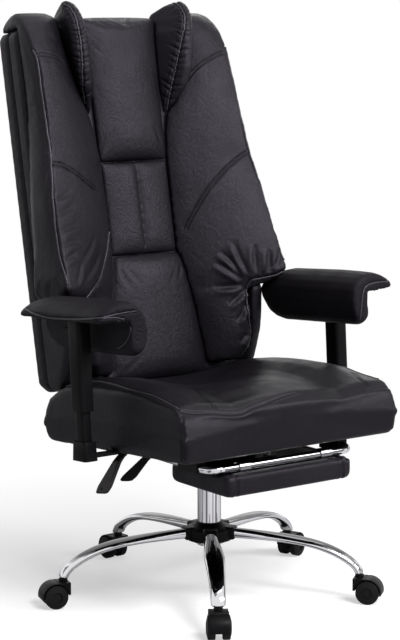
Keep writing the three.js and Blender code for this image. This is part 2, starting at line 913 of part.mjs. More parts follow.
// The footrest pad, hanging upside down under its frame
function footrestPad() {
  const stationShares = [0, 0.02, 0.07, 0.3, 0.5, 0.7, 0.93, 0.98, 1];
  const rings = stationShares.map((share) => {
    const edge = Math.min(1, Math.min(share, 1 - share) / 0.07);
    const drawn = padEdgeRound * (1 - Math.sqrt(1 - (1 - edge) ** 2));
    const crown = padCrown * Math.sin(Math.PI * share);
    const setback = -padFrontReach + padDepth * share;
    return padOutline(drawn / 2).map(([across, up]) => {
      const middle = 1 - (across / padHalfWidth) ** 2;
      const swell = up < 0 ? crown * middle : 0;
      return point(across, setback, padTop - padThickness / 2 + up - swell);
    });
  });
  return loft(rings);
}

// Parts of one armrest, in the seat's frame, on the seated person's left
function armBracket() {
  return block(
    point(bracketInnerReach, -postSetForward - bracketWidth / 2, -bracketThickness - seatGap),
    point(postHalfSpacing + postWidth / 2, -postSetForward + bracketWidth / 2, -seatGap),
  );
}

const atPost = (geometry) => geometry.translate(postHalfSpacing, -postSetForward, 0);
const sleeveCeiling = sleeveTop - topPlateThickness;
const postHeight = sleeveCeiling - armLoweringTravel - postHeadroom;
const rodSetback = sleeveDepth / 2 + releaseRodRadius + seatGap;

function armPost() {
  return atPost(roundedPost(0, postHeight, [postWidth / 2, postDepth / 2]));
}

function armFoot() {
  const lowSize = [footWidth / 2, footDepth / 2];
  const topSize = [footTopWidth / 2, footTopDepth / 2];
  const shell = roundedPost(-footBelow, footAbove, lowSize, topSize);
  const holeSize = [postWidth / 2 + seatGap, postDepth / 2 + seatGap];
  const postHole = roundedPost(-seatGap, footAbove + cutOverrun, holeSize);
  const bracketSlot = block(
    point(-footWidth * 2, -bracketWidth / 2 - seatGap, -bracketThickness - 2 * seatGap),
    point(postWidth / 2 + seatGap, bracketWidth / 2 + seatGap, 0),
  );
  const rodRoom = releaseRodRadius + runningGap;
  const rodSlot = block(
    point(-rodRoom, rodSetback - rodRoom, -footBelow - cutOverrun),
    point(rodRoom, footDepth, footAbove + cutOverrun),
  );
  return atPost(cut(shell, postHole, bracketSlot, rodSlot));
}

function armSleeve() {
  const shell = roundedPost(sleeveBottom, sleeveTop, [sleeveWidth / 2, sleeveDepth / 2]);
  const boreSize = [sleeveWidth / 2 - sleeveWall, sleeveDepth / 2 - sleeveWall];
  const bore = roundedPost(sleeveBottom - cutOverrun, sleeveCeiling, boreSize);
  return atPost(cut(shell, bore));
}

const topPlateLow = sleeveTop + seatGap;
const armPadLow = topPlateLow + topPlateThickness + seatGap;

function armTopPlate() {
  return atPost(
    block(
      point(-topPlateHalfWidth, -topPlateFrontReach, topPlateLow),
      point(topPlateHalfWidth, topPlateRearReach, topPlateLow + topPlateThickness),
    ),
  );
}

// The height trigger behind the sleeve, under the pad, and the rod that runs from it down to a slot in the foot
const triggerTop = topPlateLow - triggerBelowPad;

function heightTrigger() {
  const low = triggerTop - triggerThickness;
  const front = sleeveDepth / 2 + seatGap;
  const rear = front + triggerLength;
  return atPost(block(point(-triggerWidth / 2, front, low), point(triggerWidth / 2, rear, triggerTop)));
}

function releaseRod() {
  const section = roundedOutline(releaseRodRadius, releaseRodRadius, releaseRodRadius, 1);
  const rodTop = triggerTop - triggerThickness - seatGap;
  const heights = [footAbove - releaseRodEngagement, rodTop];
  const rings = heights.map((height) => section.map(([x, y]) => point(x, rodSetback + y, height)));
  return atPost(loft(rings));
}

// The arm pad: a crowned top that thins to its outer lip, with a thick flap on the seat side
function armPad() {
  const crownSectionShares = [
    // out from the inner face as a share of the width, and up as a share of the crown
    [0.99, 0.02],
    [1.01, 0.14],
    [0.98, 0.3],
    [0.87, 0.56],
    [0.73, 0.79],
    [0.58, 0.94],
    [0.43, 1],
    [0.28, 0.93],
    [0.16, 0.72],
    [0.06, 0.42],
    [0, 0.04],
  ];
  const flapSectionShares = [
    // out from the inner face as a share of the room beside the post, and down as a share of the flap
    [-0.02, 0.3],
    [0.02, 0.6],
    [0.1, 0.82],
    [0.24, 0.95],
    [0.45, 1],
    [0.66, 0.97],
    [0.78, 0.88],
    [0.82, 0.7],
    [0.78, 0.45],
    [0.74, 0.2],
    [0.76, 0.07],
    [0.84, 0],
    [0.92, 0],
  ];
  const stationShares = [0, 0.012, 0.045, 0.15, 0.32, 0.5, 0.68, 0.8, 0.88, 0.94, 0.985, 1];
  const crownShares = [
    [0, 0.9],
    [0.25, 1],
    [0.8, 0.96],
    [1, 0.7],
  ];
  const flapShares = [
    [0, 0.93],
    [0.05, 1],
    [0.8, 1],
    [0.88, 0.93],
    [0.94, 0.8],
    [1, 0.45],
  ];
  const width = armPadOuter - armPadInner;
  const flapRoom = postHalfSpacing - sleeveWidth / 2 - armFlapClearance - armPadInner;
  const rings = stationShares.map((share) => {
    const end = Math.min(1, Math.min(share, 1 - share) / 0.045);
    const drawn = armPadEdgeRound * (1 - Math.sqrt(1 - (1 - end) ** 2));
    const crown = armPadCrown * along(crownShares, share, evenly) - drawn;
    const drop = armFlapDrop * along(flapShares, share, evenly) - drawn;
    const place = (out, up) => {
      const outShare = Math.max(0, Math.min(1, out / width));
      const front = -armPadFrontReach + armPadFrontRound * outShare ** 6;
      const rear = armPadRearReach + armPadRearSweep * (1 - outShare ** 2);
      return point(armPadInner + out, mix(front, rear, share), armPadLow + up);
    };
    const overPost = crownSectionShares.map(([outShare, upShare]) =>
      place(width * outShare + mix(drawn, -drawn, Math.min(1, outShare)), Math.max(seatGap, crown * upShare)),
    );
    const besidePost = flapSectionShares.map(([outShare, downShare]) =>
      place(flapRoom * outShare, -drop * downShare),
    );
    return [...overPost, ...besidePost];
  });
  return loft(rings);
}

// Back, in its own frame: X across, Y backward, Z up along the back
const atDepth = (across, up, forward) => point(across, -forward, up);
const barDepthMiddle = coverThickness - woodThickness - barThickness / 2 - 2 * seatGap;

function backBar() {
  const strip = block(
    atDepth(-barHalfWidth, -pivotBelowBack + barrelRadius * 1.3, barDepthMiddle + barThickness / 2),
    atDepth(barHalfWidth, barHeight, barDepthMiddle - barThickness / 2),
  );
  const neck = block(
    atDepth(-barrelHalfLength, -pivotBelowBack, barDepthMiddle + barThickness / 2),
    atDepth(barrelHalfLength, 0, barDepthMiddle - barThickness / 2),
  );
  const barrel = bar(
    atDepth(-barrelHalfLength, -pivotBelowBack, barDepthMiddle),
    atDepth(barrelHalfLength, -pivotBelowBack, barDepthMiddle),
    barrelRadius,
  );
  const pinHole = bar(
    atDepth(-tailHalfWidth, -pivotBelowBack, barDepthMiddle),
    atDepth(tailHalfWidth, -pivotBelowBack, barDepthMiddle),
    pinRadius + seatGap,
  );
  return cut(join(strip, neck, barrel), pinHole);
}

const woodBottom = backBaseRise + woodInset;
const woodTop = backHeight - woodInset;
const woodHalfWidth = backHalfWidth - woodInset;

function backBoard() {
  return block(
    atDepth(-woodHalfWidth, woodBottom, coverThickness - seatGap),
    atDepth(woodHalfWidth, woodTop, coverThickness - seatGap - woodThickness),
  );
}

// Half the back's width at a height, drawn in round its corners
function backHalfWidthAt(up) {
  const fromEnd = Math.min(up - backBaseRise, backHeight - up);
  const left = Math.max(0, 1 - fromEnd / backCornerRound);
  return backHalfWidth - backCornerRound * (1 - Math.sqrt(1 - left ** 2));
}

const lowerBackShares = [0, 0.005, 0.023, 0.06, 0.11, 0.16, 0.21, 0.26, 0.31, 0.36, 0.42];
const upperBackShares = [0.56, 0.7, 0.85, 0.94, 0.977, 0.995, 1];
const backShares = [...lowerBackShares, ...upperBackShares];

// The rear cover: an upholstered shell with a crowned back, and a pocket for the board and the bar
function backCover() {
  const coverShares = backShares.filter((share, row) => row % 2 === 0 || share > 0.97);
  const rings = coverShares.map((share) => {
    const up = mix(backBaseRise, backHeight, share);
    const half = backHalfWidthAt(up);
    const crown = coverRearCrown * Math.sin(Math.PI * share) ** 0.4;
    const rear = [0.97, 0.7, 0.35, 0, -0.35, -0.7, -0.97].map((across) =>
      atDepth(half * across, up, -coverRearDepth - crown * (1 - across ** 4)),
    );
    const front = [-1, 1].map((across) => atDepth(half * across, up, coverThickness - seatGap / 2));
    const edge = (sign) => atDepth(sign * half, up, -coverRearDepth + backEdgeRound);
    return [edge(1), ...rear, edge(-1), ...front];
  });
  const pocket = block(
    atDepth(-woodHalfWidth - seatGap, woodBottom - seatGap, coverThickness + cutOverrun),
    atDepth(woodHalfWidth + seatGap, woodTop + seatGap, coverThickness - woodThickness - 2 * seatGap),
  );
  const groove = block(
    atDepth(-barHalfWidth - seatGap, -cutOverrun, coverThickness),
    atDepth(barHalfWidth + seatGap, barHeight + seatGap, barDepthMiddle - barThickness / 2 - seatGap),
  );
  return cut(loft(rings), pocket, groove);
}

const bodyFront = coverThickness + bodyThickness;

// The front body of the back, thicker at its sides near the seat; swell widens it for cutting its room
function backBody(swell = 0) {
  const bulgeShares = [
    [0, 0.02],
    [0.027, 0.3],
    [0.11, 0.73],
    [0.18, 0.92],
    [0.235, 1],
    [0.29, 1],
    [0.36, 0.4],
    [0.42, 0],
  ];
  const rings = backShares.map((share) => {
    const up = mix(backBaseRise, backHeight, share);
    const half = backHalfWidthAt(up) + swell;
    const bulge = bodyLowerBulge * along(bulgeShares, share, evenly);
    const rear = [1, -1].map((across) => atDepth(half * across, up, coverThickness + seatGap / 2));
    const front = [-1, -0.97, -0.89, -0.855, 0, 0.855, 0.89, 0.97, 1].map((across) => {
      const outer = Math.abs(across) > 0.87 ? 1 : 0;
      const round = Math.abs(across) > 0.99 ? backEdgeRound + bulge / 8 : 0;
      const shift = Math.abs(across) > 0.95 ? swell : -3 * swell;
      const reach = bodyFront + bulge * outer - round + swell;
      return atDepth((half - swell) * across + shift * Math.sign(across), up, reach);
    });
    const side = (sign) => atDepth(sign * half, up, coverThickness + bodyThickness / 3);
    return [...rear, side(-1), ...front, side(1)];
  });
  return loft(rings);
}

// One wing, on the seated person's left: rings of its section, from its foot to its top
function wing() {
  const stationShares = [
    // height, inner edge, outer edge and reach, as shares of the wing's height, span and reach
    [0, 0.42, 0.66, 0.6],
    [0.03, 0.4, 0.71, 0.7],
    [0.08, 0.38, 0.72, 0.75],
    [0.14, 0.36, 0.72, 0.76],
    [0.19, 0.34, 0.72, 0.75],
    [0.197, 0.335, 0.75, 0.77],
    [0.202, 0.332, 0.82, 0.8],
    [0.207, 0.33, 0.91, 0.86],
    [0.219, 0.32, 0.975, 0.95],
    [0.236, 0.31, 1, 1],
    [0.27, 0.3, 0.993, 0.975],
    [0.32, 0.296, 0.98, 0.94],
    [0.38, 0.296, 0.967, 0.893],
    [0.4635, 0.296, 0.95, 0.824],
    [0.568, 0.3, 0.918, 0.746],
    [0.65, 0.325, 0.892, 0.722],
    [0.737, 0.375, 0.875, 0.698],
    [0.8, 0.43, 0.87, 0.668],
    [0.854, 0.476, 0.87, 0.628],
    [0.9, 0.51, 0.877, 0.565],
    [0.935, 0.535, 0.878, 0.5],
    [0.965, 0.545, 0.872, 0.41],
    [0.985, 0.555, 0.86, 0.33],
    [1, 0.57, 0.84, 0.22],
  ];
  const rings = stationShares.map(([upShare, innerShare, outerShare, reachShare]) => {
    const up = mix(wingBottom, wingTop, upShare);
    const inner = wingHalfSpan * innerShare;
    const outer = wingHalfSpan * outerShare;
    const depth = wingReach * reachShare;
    const closing = Math.max(0, (upShare - 0.93) / 0.07);
    const rear = mix(-coverRearDepth, coverThickness, closing ** 3);
    const faceLow = mix(bodyFront + wingInnerThickness, depth, closing);
    const face = [0, 0.15, 0.38, 0.62, 0.85, 0.97, 1].map((across) => {
      const crown = wingCrown * Math.sin(Math.PI * across) ** 0.8 * (1 - closing / 2);
      return atDepth(mix(inner, outer, across), up, mix(faceLow, depth, across) + crown);
    });
    const back = [1, 0.66, 0.33, 0].map((across) =>
      atDepth(mix(inner, outer - wingCrown / 6, across), up, rear),
    );
    const side = atDepth(outer + wingCrown / 8, up, mix(rear, depth, 0.6));
    return [...face, side, ...back];
  });
  return cut(loft(rings), behindFront());
}

// The room that the back's body and cover take up, and all that lies behind it
function behindFront() {
  return block(
    atDepth(-2 * wingHalfSpan, -backHeight, bodyFront + seatGap),
    atDepth(2 * wingHalfSpan, backHeight + seatGap, -backHeight),
  );
}

// An upright leaf beside the head panel, leaning out from its full root to its piped front edge
function ear(swell = 0) {
  const stationShares = [
    // height, root across and out, front edge across and out, thickness, outer fill at the root, as shares
    [0, 0, 0.02, 0.02, 0.05, 0.3, 0],
    [0.1, 0, 0, 0.26, 0.36, 0.5, 0],
    [0.22, 0, 0, 0.55, 0.72, 0.7, 0.06],
    [0.37, 0, 0, 0.76, 0.9, 0.9, 0.3],
    [0.55, 0.02, 0, 0.86, 0.97, 1, 0.62],
    [0.72, 0.04, 0, 0.93, 1, 1, 0.88],
    [0.84, 0.1, -0.2, 0.98, 0.97, 0.95, 0.92],
    [0.92, 0.24, -0.18, 1, 0.85, 0.85, 0.5],
    [0.97, 0.5, 0.15, 1.02, 0.7, 0.65, 0.32],
    [1, 0.8, 0.38, 1.02, 0.53, 0.3, 0.1],
  ];
  const reach = earDepth - bodyFront;
  const rings = stationShares.map((row) => {
    const [upShare, rootShare, rootOutShare, edgeShare, edgeOutShare, thickShare, fillShare] = row;
    const at = (acrossShare, outShare) =>
      new THREE.Vector2(earRootSpacing + earLean * acrossShare, bodyFront + reach * outShare);
    const root = at(rootShare, rootOutShare);
    const edge = at(edgeShare, edgeOutShare);
    const lead = edge.clone().sub(root).normalize();
    root.addScaledVector(lead, (-earThickness / 2) * Math.min(1, (1 - upShare) * 6));
    const half = root.distanceTo(edge) / 2 + swell;
    const middle = root.clone().add(edge).multiplyScalar(0.5);
    const end = upShare === 1 ? swell : 0;
    const halfThick = (earThickness / 2) * thickShare + swell;
    return roundedOutline(halfThick, half, Math.min(halfThick, half) * 0.95).map(([thick, deep]) => {
      const fill = (earRootFill * fillShare * Math.max(0, thick / halfThick) * (1 - deep / half)) / 2;
      return atDepth(
        middle.x + thick * lead.y + deep * lead.x + fill,
        mix(earBottom, earTop, upShare) + end,
        middle.y - thick * lead.x + deep * lead.y,
      );
    });
  });
  return cut(loft(rings), behindFront());
}

// A cushioned panel of the middle column, flat behind and crowned in front
function panel({ low, high, halfLow, halfHigh, crown, groove = 0 }, swell = 0) {
  const rowShares = [0, 0.02, 0.07, 0.16, 0.3, 0.5, 0.7, 0.84, 0.93, 0.98, 1];
  const acrossShares = [-1, -0.94, -0.8, -0.6, -0.4, -0.2, -0.06, 0, 0.06, 0.2, 0.4, 0.6, 0.8, 0.94, 1];
  const rings = rowShares.map((share) => {
    const up = mix(low - swell, high + swell, share);
    const half = mix(halfHigh, halfLow, Math.sin((Math.PI / 2) * (1 - share)) ** 0.8) + swell;
    const endRise = Math.min(1, Math.min(share, 1 - share) / 0.16);
    const roundness = Math.sqrt(1 - (1 - endRise) ** 2);
    const front = acrossShares.map((across) => {
      const round = Math.sqrt(Math.max(0, 1 - across ** 6));
      const sunk = groove * Math.exp(-((across / 0.07) ** 2));
      const rise = panelEdge + (crown * (1 - 0.65 * across ** 2) - sunk) * roundness * round;
      return atDepth(half * across, up, bodyFront + rise + swell);
    });
    const back = [1, 0.3, -0.3, -1].map((across) => atDepth(half * across * 0.99, up, -coverRearDepth / 2));
    return [...front, ...back];
  });
  return cut(loft(rings), behindFront());
}

// Assembly
const chair = new THREE.Group();
const base = new THREE.Group();
base.add(piece("star_base", starBase(), "chrome"));
base.add(piece("hub_boot", hubBoot(), "nylon"));
base.add(piece("column_tube", columnTube(), "chrome"));
base.add(piece("column_guide_bush", guideBush(), "nylon"));
base.add(piece("lift_rod", liftRod(), "steel"));
base.add(piece("retaining_clip", retainingClip(), "steel"));
armBearings.forEach((bearing, number) => {
  const caster = new THREE.Group();
  caster.position.set(tipRadius * Math.cos(bearing), tipRadius * Math.sin(bearing), 0);
  caster.rotation.z = bearing - radians(90);
  caster.add(piece("caster_hood_" + (number + 1), casterHood(), "nylon"));
  caster.add(piece("caster_wheels_" + (number + 1), wheelPair().translate(0, casterTrail, 0), "nylon"));
  base.add(caster);
});

const upper = new THREE.Group();
upper.add(piece("lift_cylinder", liftCylinder(), "blackSteel"));
upper.add(piece("footrest_frame", footrestFrame(), "chrome"));
upper.add(piece("footrest_hinge", footrestHinge(), "chrome"));
upper.add(piece("footrest_pad", footrestPad(), "leather"));

const seat = new THREE.Group();
seat.position.z = seatHeight;
seat.rotation.x = -radians(seatTilt);
seat.add(piece("mechanism_housing", mechanismHousing(), "blackSteel"));
seat.add(piece("seat_plate", seatPlate(), "blackSteel"));
seat.add(piece("seat_board", seatBoard(), "plywood"));
seat.add(piece("seat_cushion", seatCushion(), "leather"));
seat.add(piece("recline_pin", reclinePin(), "steel"));
seat.add(piece("recline_spring", reclineSpring(), "steel"));
for (const plan of leverPlans) {
  seat.add(piece(plan.name + "_rod", leverRod(plan), "blackSteel"));
  seat.add(piece(plan.name + "_grip", leverGrip(plan), plan.finish));
}
const sides = [
  ["left", (geometry) => geometry, leftArmNotch],
  ["right", mirrored, 0],
];
for (const [side, placed, notch] of sides) {
  const raised = new THREE.Group();
  raised.position.z = notch;
  seat.add(piece("footrest_guide_" + side, placed(footrestGuide()), "blackSteel"));
  seat.add(piece("arm_bracket_" + side, placed(armBracket()), "blackSteel"));
  seat.add(piece("arm_post_" + side, placed(armPost()), "nylon"));
  seat.add(piece("arm_foot_" + side, placed(armFoot()), "nylon"));
  raised.add(piece("arm_sleeve_" + side, placed(armSleeve()), "nylon"));
  raised.add(piece("arm_top_plate_" + side, placed(armTopPlate()), "blackSteel"));
  raised.add(piece("arm_pad_" + side, placed(armPad()), "leather"));
  raised.add(piece("height_trigger_" + side, placed(heightTrigger()), "nylon"));
  raised.add(piece("release_rod_" + side, placed(releaseRod()), "steel"));
  seat.add(raised);
}

const back = new THREE.Group();
const sideways = point(1, 0, 0);
const pivot = point(0, pivotSetback, pivotHeight).applyAxisAngle(sideways, -radians(seatTilt));
const backOffset = atDepth(0, -pivotBelowBack, barDepthMiddle).applyAxisAngle(sideways, -radians(recline));
back.rotation.x = -radians(recline);
back.position.copy(pivot.add(point(0, 0, seatHeight)).sub(backOffset));
back.add(piece("back_bar", backBar(), "blackSteel"));
back.add(piece("back_board", backBoard(), "plywood"));
back.add(piece("back_cover", backCover(), "leather"));
back.add(piece("back_body", backBody(), "leather"));
const panelPlans = {
  head_panel: {
    low: headBottom,
    high: headTop,
    halfLow: middleHalfWidth,
    halfHigh: headHalfWidth,
    crown: headCrown,
  },
  middle_panel: {
    low: middleBottom,
    high: headBottom - panelSpacing,
    halfLow: middleHalfWidth,
    halfHigh: middleHalfWidth,
    crown: middleCrown,
    groove: channelDepth,
  },
  lumbar_cushion: {
    low: lumbarBottom,
    high: middleBottom - panelSpacing,
    halfLow: lumbarFootHalfWidth,
    halfHigh: lumbarHalfWidth,
    crown: lumbarCrown,
  },
};
const panelRooms = Object.values(panelPlans).map((plan) => panel(plan, seatGap));
for (const [name, plan] of Object.entries(panelPlans)) {
  back.add(piece(name, panel(plan), "leather"));
}
for (const [side, placed] of sides) {
  const leaf = cut(placed(ear()), ...panelRooms);
  back.add(piece("ear_" + side, leaf, "leather"));
  const rooms = [backBody(seatGap), placed(ear(seatGap)), ...panelRooms];
  back.add(piece("wing_" + side, cut(placed(wing()), ...rooms), "leather"));
}

chair.add(base, upper, seat, back);
chair.position.y = -columnSetForward;

export default chair;
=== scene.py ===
"""Looks of a reclining office chair with a slide-out, flip-over footrest.

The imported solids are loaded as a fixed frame. Each sub-assembly is a class that models its visible pieces
in the row frame, in metres, dresses them, and hangs each one on the body that carries it.
"""

import json
import logging
import math
from dataclasses import dataclass
from enum import Enum
from typing import Callable, Iterable, Sequence

import bmesh
import bpy
import numpy as np
from mathutils import Euler, Matrix, Vector
from mathutils.bvhtree import BVHTree


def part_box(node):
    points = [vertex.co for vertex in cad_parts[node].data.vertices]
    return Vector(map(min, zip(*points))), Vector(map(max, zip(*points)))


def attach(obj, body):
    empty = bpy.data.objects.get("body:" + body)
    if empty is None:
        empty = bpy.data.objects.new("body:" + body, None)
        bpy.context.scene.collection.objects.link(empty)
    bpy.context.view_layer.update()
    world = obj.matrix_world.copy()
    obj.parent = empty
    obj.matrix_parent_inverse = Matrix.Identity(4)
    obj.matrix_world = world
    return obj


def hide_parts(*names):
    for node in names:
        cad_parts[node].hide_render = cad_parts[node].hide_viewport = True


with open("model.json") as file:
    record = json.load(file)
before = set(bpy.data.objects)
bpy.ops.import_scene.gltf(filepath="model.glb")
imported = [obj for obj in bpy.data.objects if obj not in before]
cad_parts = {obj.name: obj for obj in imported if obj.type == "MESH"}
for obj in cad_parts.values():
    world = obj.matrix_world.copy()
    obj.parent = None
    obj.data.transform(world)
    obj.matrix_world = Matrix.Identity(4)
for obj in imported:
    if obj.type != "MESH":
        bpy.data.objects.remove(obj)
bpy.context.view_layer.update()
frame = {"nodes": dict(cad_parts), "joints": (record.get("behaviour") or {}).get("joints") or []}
LOG = logging.getLogger("chair")

Points = Sequence[Sequence[float]]
Colour = tuple[float, float, float]


class Side(Enum):
    """The seated person's two sides, with the sign of X."""

    LEFT = 1
    RIGHT = -1

    @property
    def word(self) -> str:
        """The side's name as the nodes spell it."""
        return self.name.lower()


@dataclass(frozen=True)
class PhotoCamera:
    """The camera at the photograph's viewing angle, and the rays through its pixels."""

    place: tuple[float, float, float] = (-2.484, -3.4215, 1.222)
    pitch: float = math.radians(81.33)
    heading: float = math.radians(-36.11)
    focal: float = 2024.5
    width: int = 400
    height: int = 640
    sensor: float = 36.0

    def build(self) -> None:
        """Adds the camera and makes it the scene's own."""
        data = bpy.data.cameras.new("photo_camera")
        data.lens = self.focal * self.sensor / self.height
        data.sensor_width = self.sensor
        camera = added("photo_camera", data)
        camera.location = self.place
        camera.rotation_euler = (self.pitch, 0, self.heading)
        bpy.context.scene.camera = camera

    def ray(self, across: float, down: float) -> tuple[Vector, Vector]:
        """The ray through a place in the picture.

        Args:
            across: pixels from the picture's left edge.
            down: pixels from its top edge.

        Returns:
            The ray's start and its direction.
        """
        turn = Euler((self.pitch, 0, self.heading)).to_matrix()
        toward = Vector((across - self.width / 2, self.height / 2 - down, -self.focal))
        return Vector(self.place), (turn @ toward).normalized()


@dataclass(frozen=True)
class TiltedFrame:
    """The frame of a tilted sub-assembly: across the chair, up its slope, and forward out of it."""

    origin: tuple[float, float, float]
    tilt: float

    @property
    def up(self) -> Vector:
        """The direction up the slope."""
        return Vector((0, math.sin(self.tilt), math.cos(self.tilt)))

    @property
    def forward(self) -> Vector:
        """The direction out of the slope, towards the chair's front."""
        return Vector((0, -math.cos(self.tilt), math.sin(self.tilt)))

    def at(self, across: float, up: float, forward: float) -> Vector:
        """A place of this frame, in the row frame."""
        return Vector(self.origin) + Vector((across, 0, 0)) + self.up * up + self.forward * forward


CAMERA = PhotoCamera()
SEAT = TiltedFrame((0, -0.0495, 0.341), math.radians(4.1))
BACK = TiltedFrame((0, 0.20145, 0.4), math.radians(11.3))
COLUMN = Vector((0, -0.0495, 0))
WHITE = (1, 1, 1, 1)
TURN = 2 * math.pi
SAME_PLACE = 1e-5
TUBE_SMOOTHING = math.radians(50)
STEEP_EDGE = math.radians(60)


def added(name: str, data: bpy.types.ID) -> bpy.types.Object:
    """A new object of the scene that holds some data."""
    obj = bpy.data.objects.new(name, data)
    bpy.context.scene.collection.objects.link(obj)
    return obj


def alone(obj: bpy.types.Object) -> bpy.types.Object:
    """Selects one object alone and makes it the active one."""
    active = bpy.context.view_layer.objects.active
    if active and active.mode != "OBJECT":
        bpy.ops.object.mode_set(mode="OBJECT")
    bpy.ops.object.select_all(action="DESELECT")
    obj.select_set(True)
    bpy.context.view_layer.objects.active = obj
    return obj


def smoothed(obj: bpy.types.Object) -> None:
    """Shades an object smooth all over."""
    alone(obj)
    bpy.ops.object.shade_smooth()


def coordinates(obj: bpy.types.Object) -> np.ndarray:
    """The places of an object's vertices, one row each."""
    flat = np.zeros(len(obj.data.vertices) * 3)
    obj.data.vertices.foreach_get("co", flat)
    return flat.reshape(-1, 3)


def move_vertices(obj: bpy.types.Object, places: np.ndarray) -> None:
    """Puts an object's vertices at the given places."""
    obj.data.vertices.foreach_set("co", places.ravel())
    obj.data.update()


def outward_normals(obj: bpy.types.Object) -> np.ndarray:
    """The normals of an object's vertices, one row each."""
    flat = np.zeros(len(obj.data.vertices) * 3)
    obj.data.vertex_normals.foreach_get("vector", flat)
    return flat.reshape(-1, 3)


def eased(value: np.ndarray | float, start: float, end: float) -> np.ndarray | float:
    """A smooth step from 0 at start to 1 at end."""
    share = np.clip((value - start) / (end - start), 0, 1)
    return share * share * (3 - 2 * share)


def flowing(places: Points, step: float) -> np.ndarray:
    """Closely spaced points on a smooth curve through the given ones.

    Args:
        places: the points that the curve passes through.
        step: the spacing, in the same unit.

    Returns:
        One row for each point.
    """
    fixed = np.asarray(places, float)
    ends = np.vstack([2 * fixed[0] - fixed[1], fixed, 2 * fixed[-1] - fixed[-2]])
    rows = []
    for before, start, end, after in zip(ends, ends[1:], ends[2:], ends[3:]):
        count = max(2, int(np.linalg.norm(end - start) / step))
        t = np.linspace(0, 1, count, endpoint=False)[:, None]
        square = (2 * before - 5 * start + 4 * end - after) * t**2
        cube = (3 * start - before - 3 * end + after) * t**3
        rows.append(start + 0.5 * ((end - before) * t + (square + cube)))
    return np.vstack([*rows, fixed[-1:]])


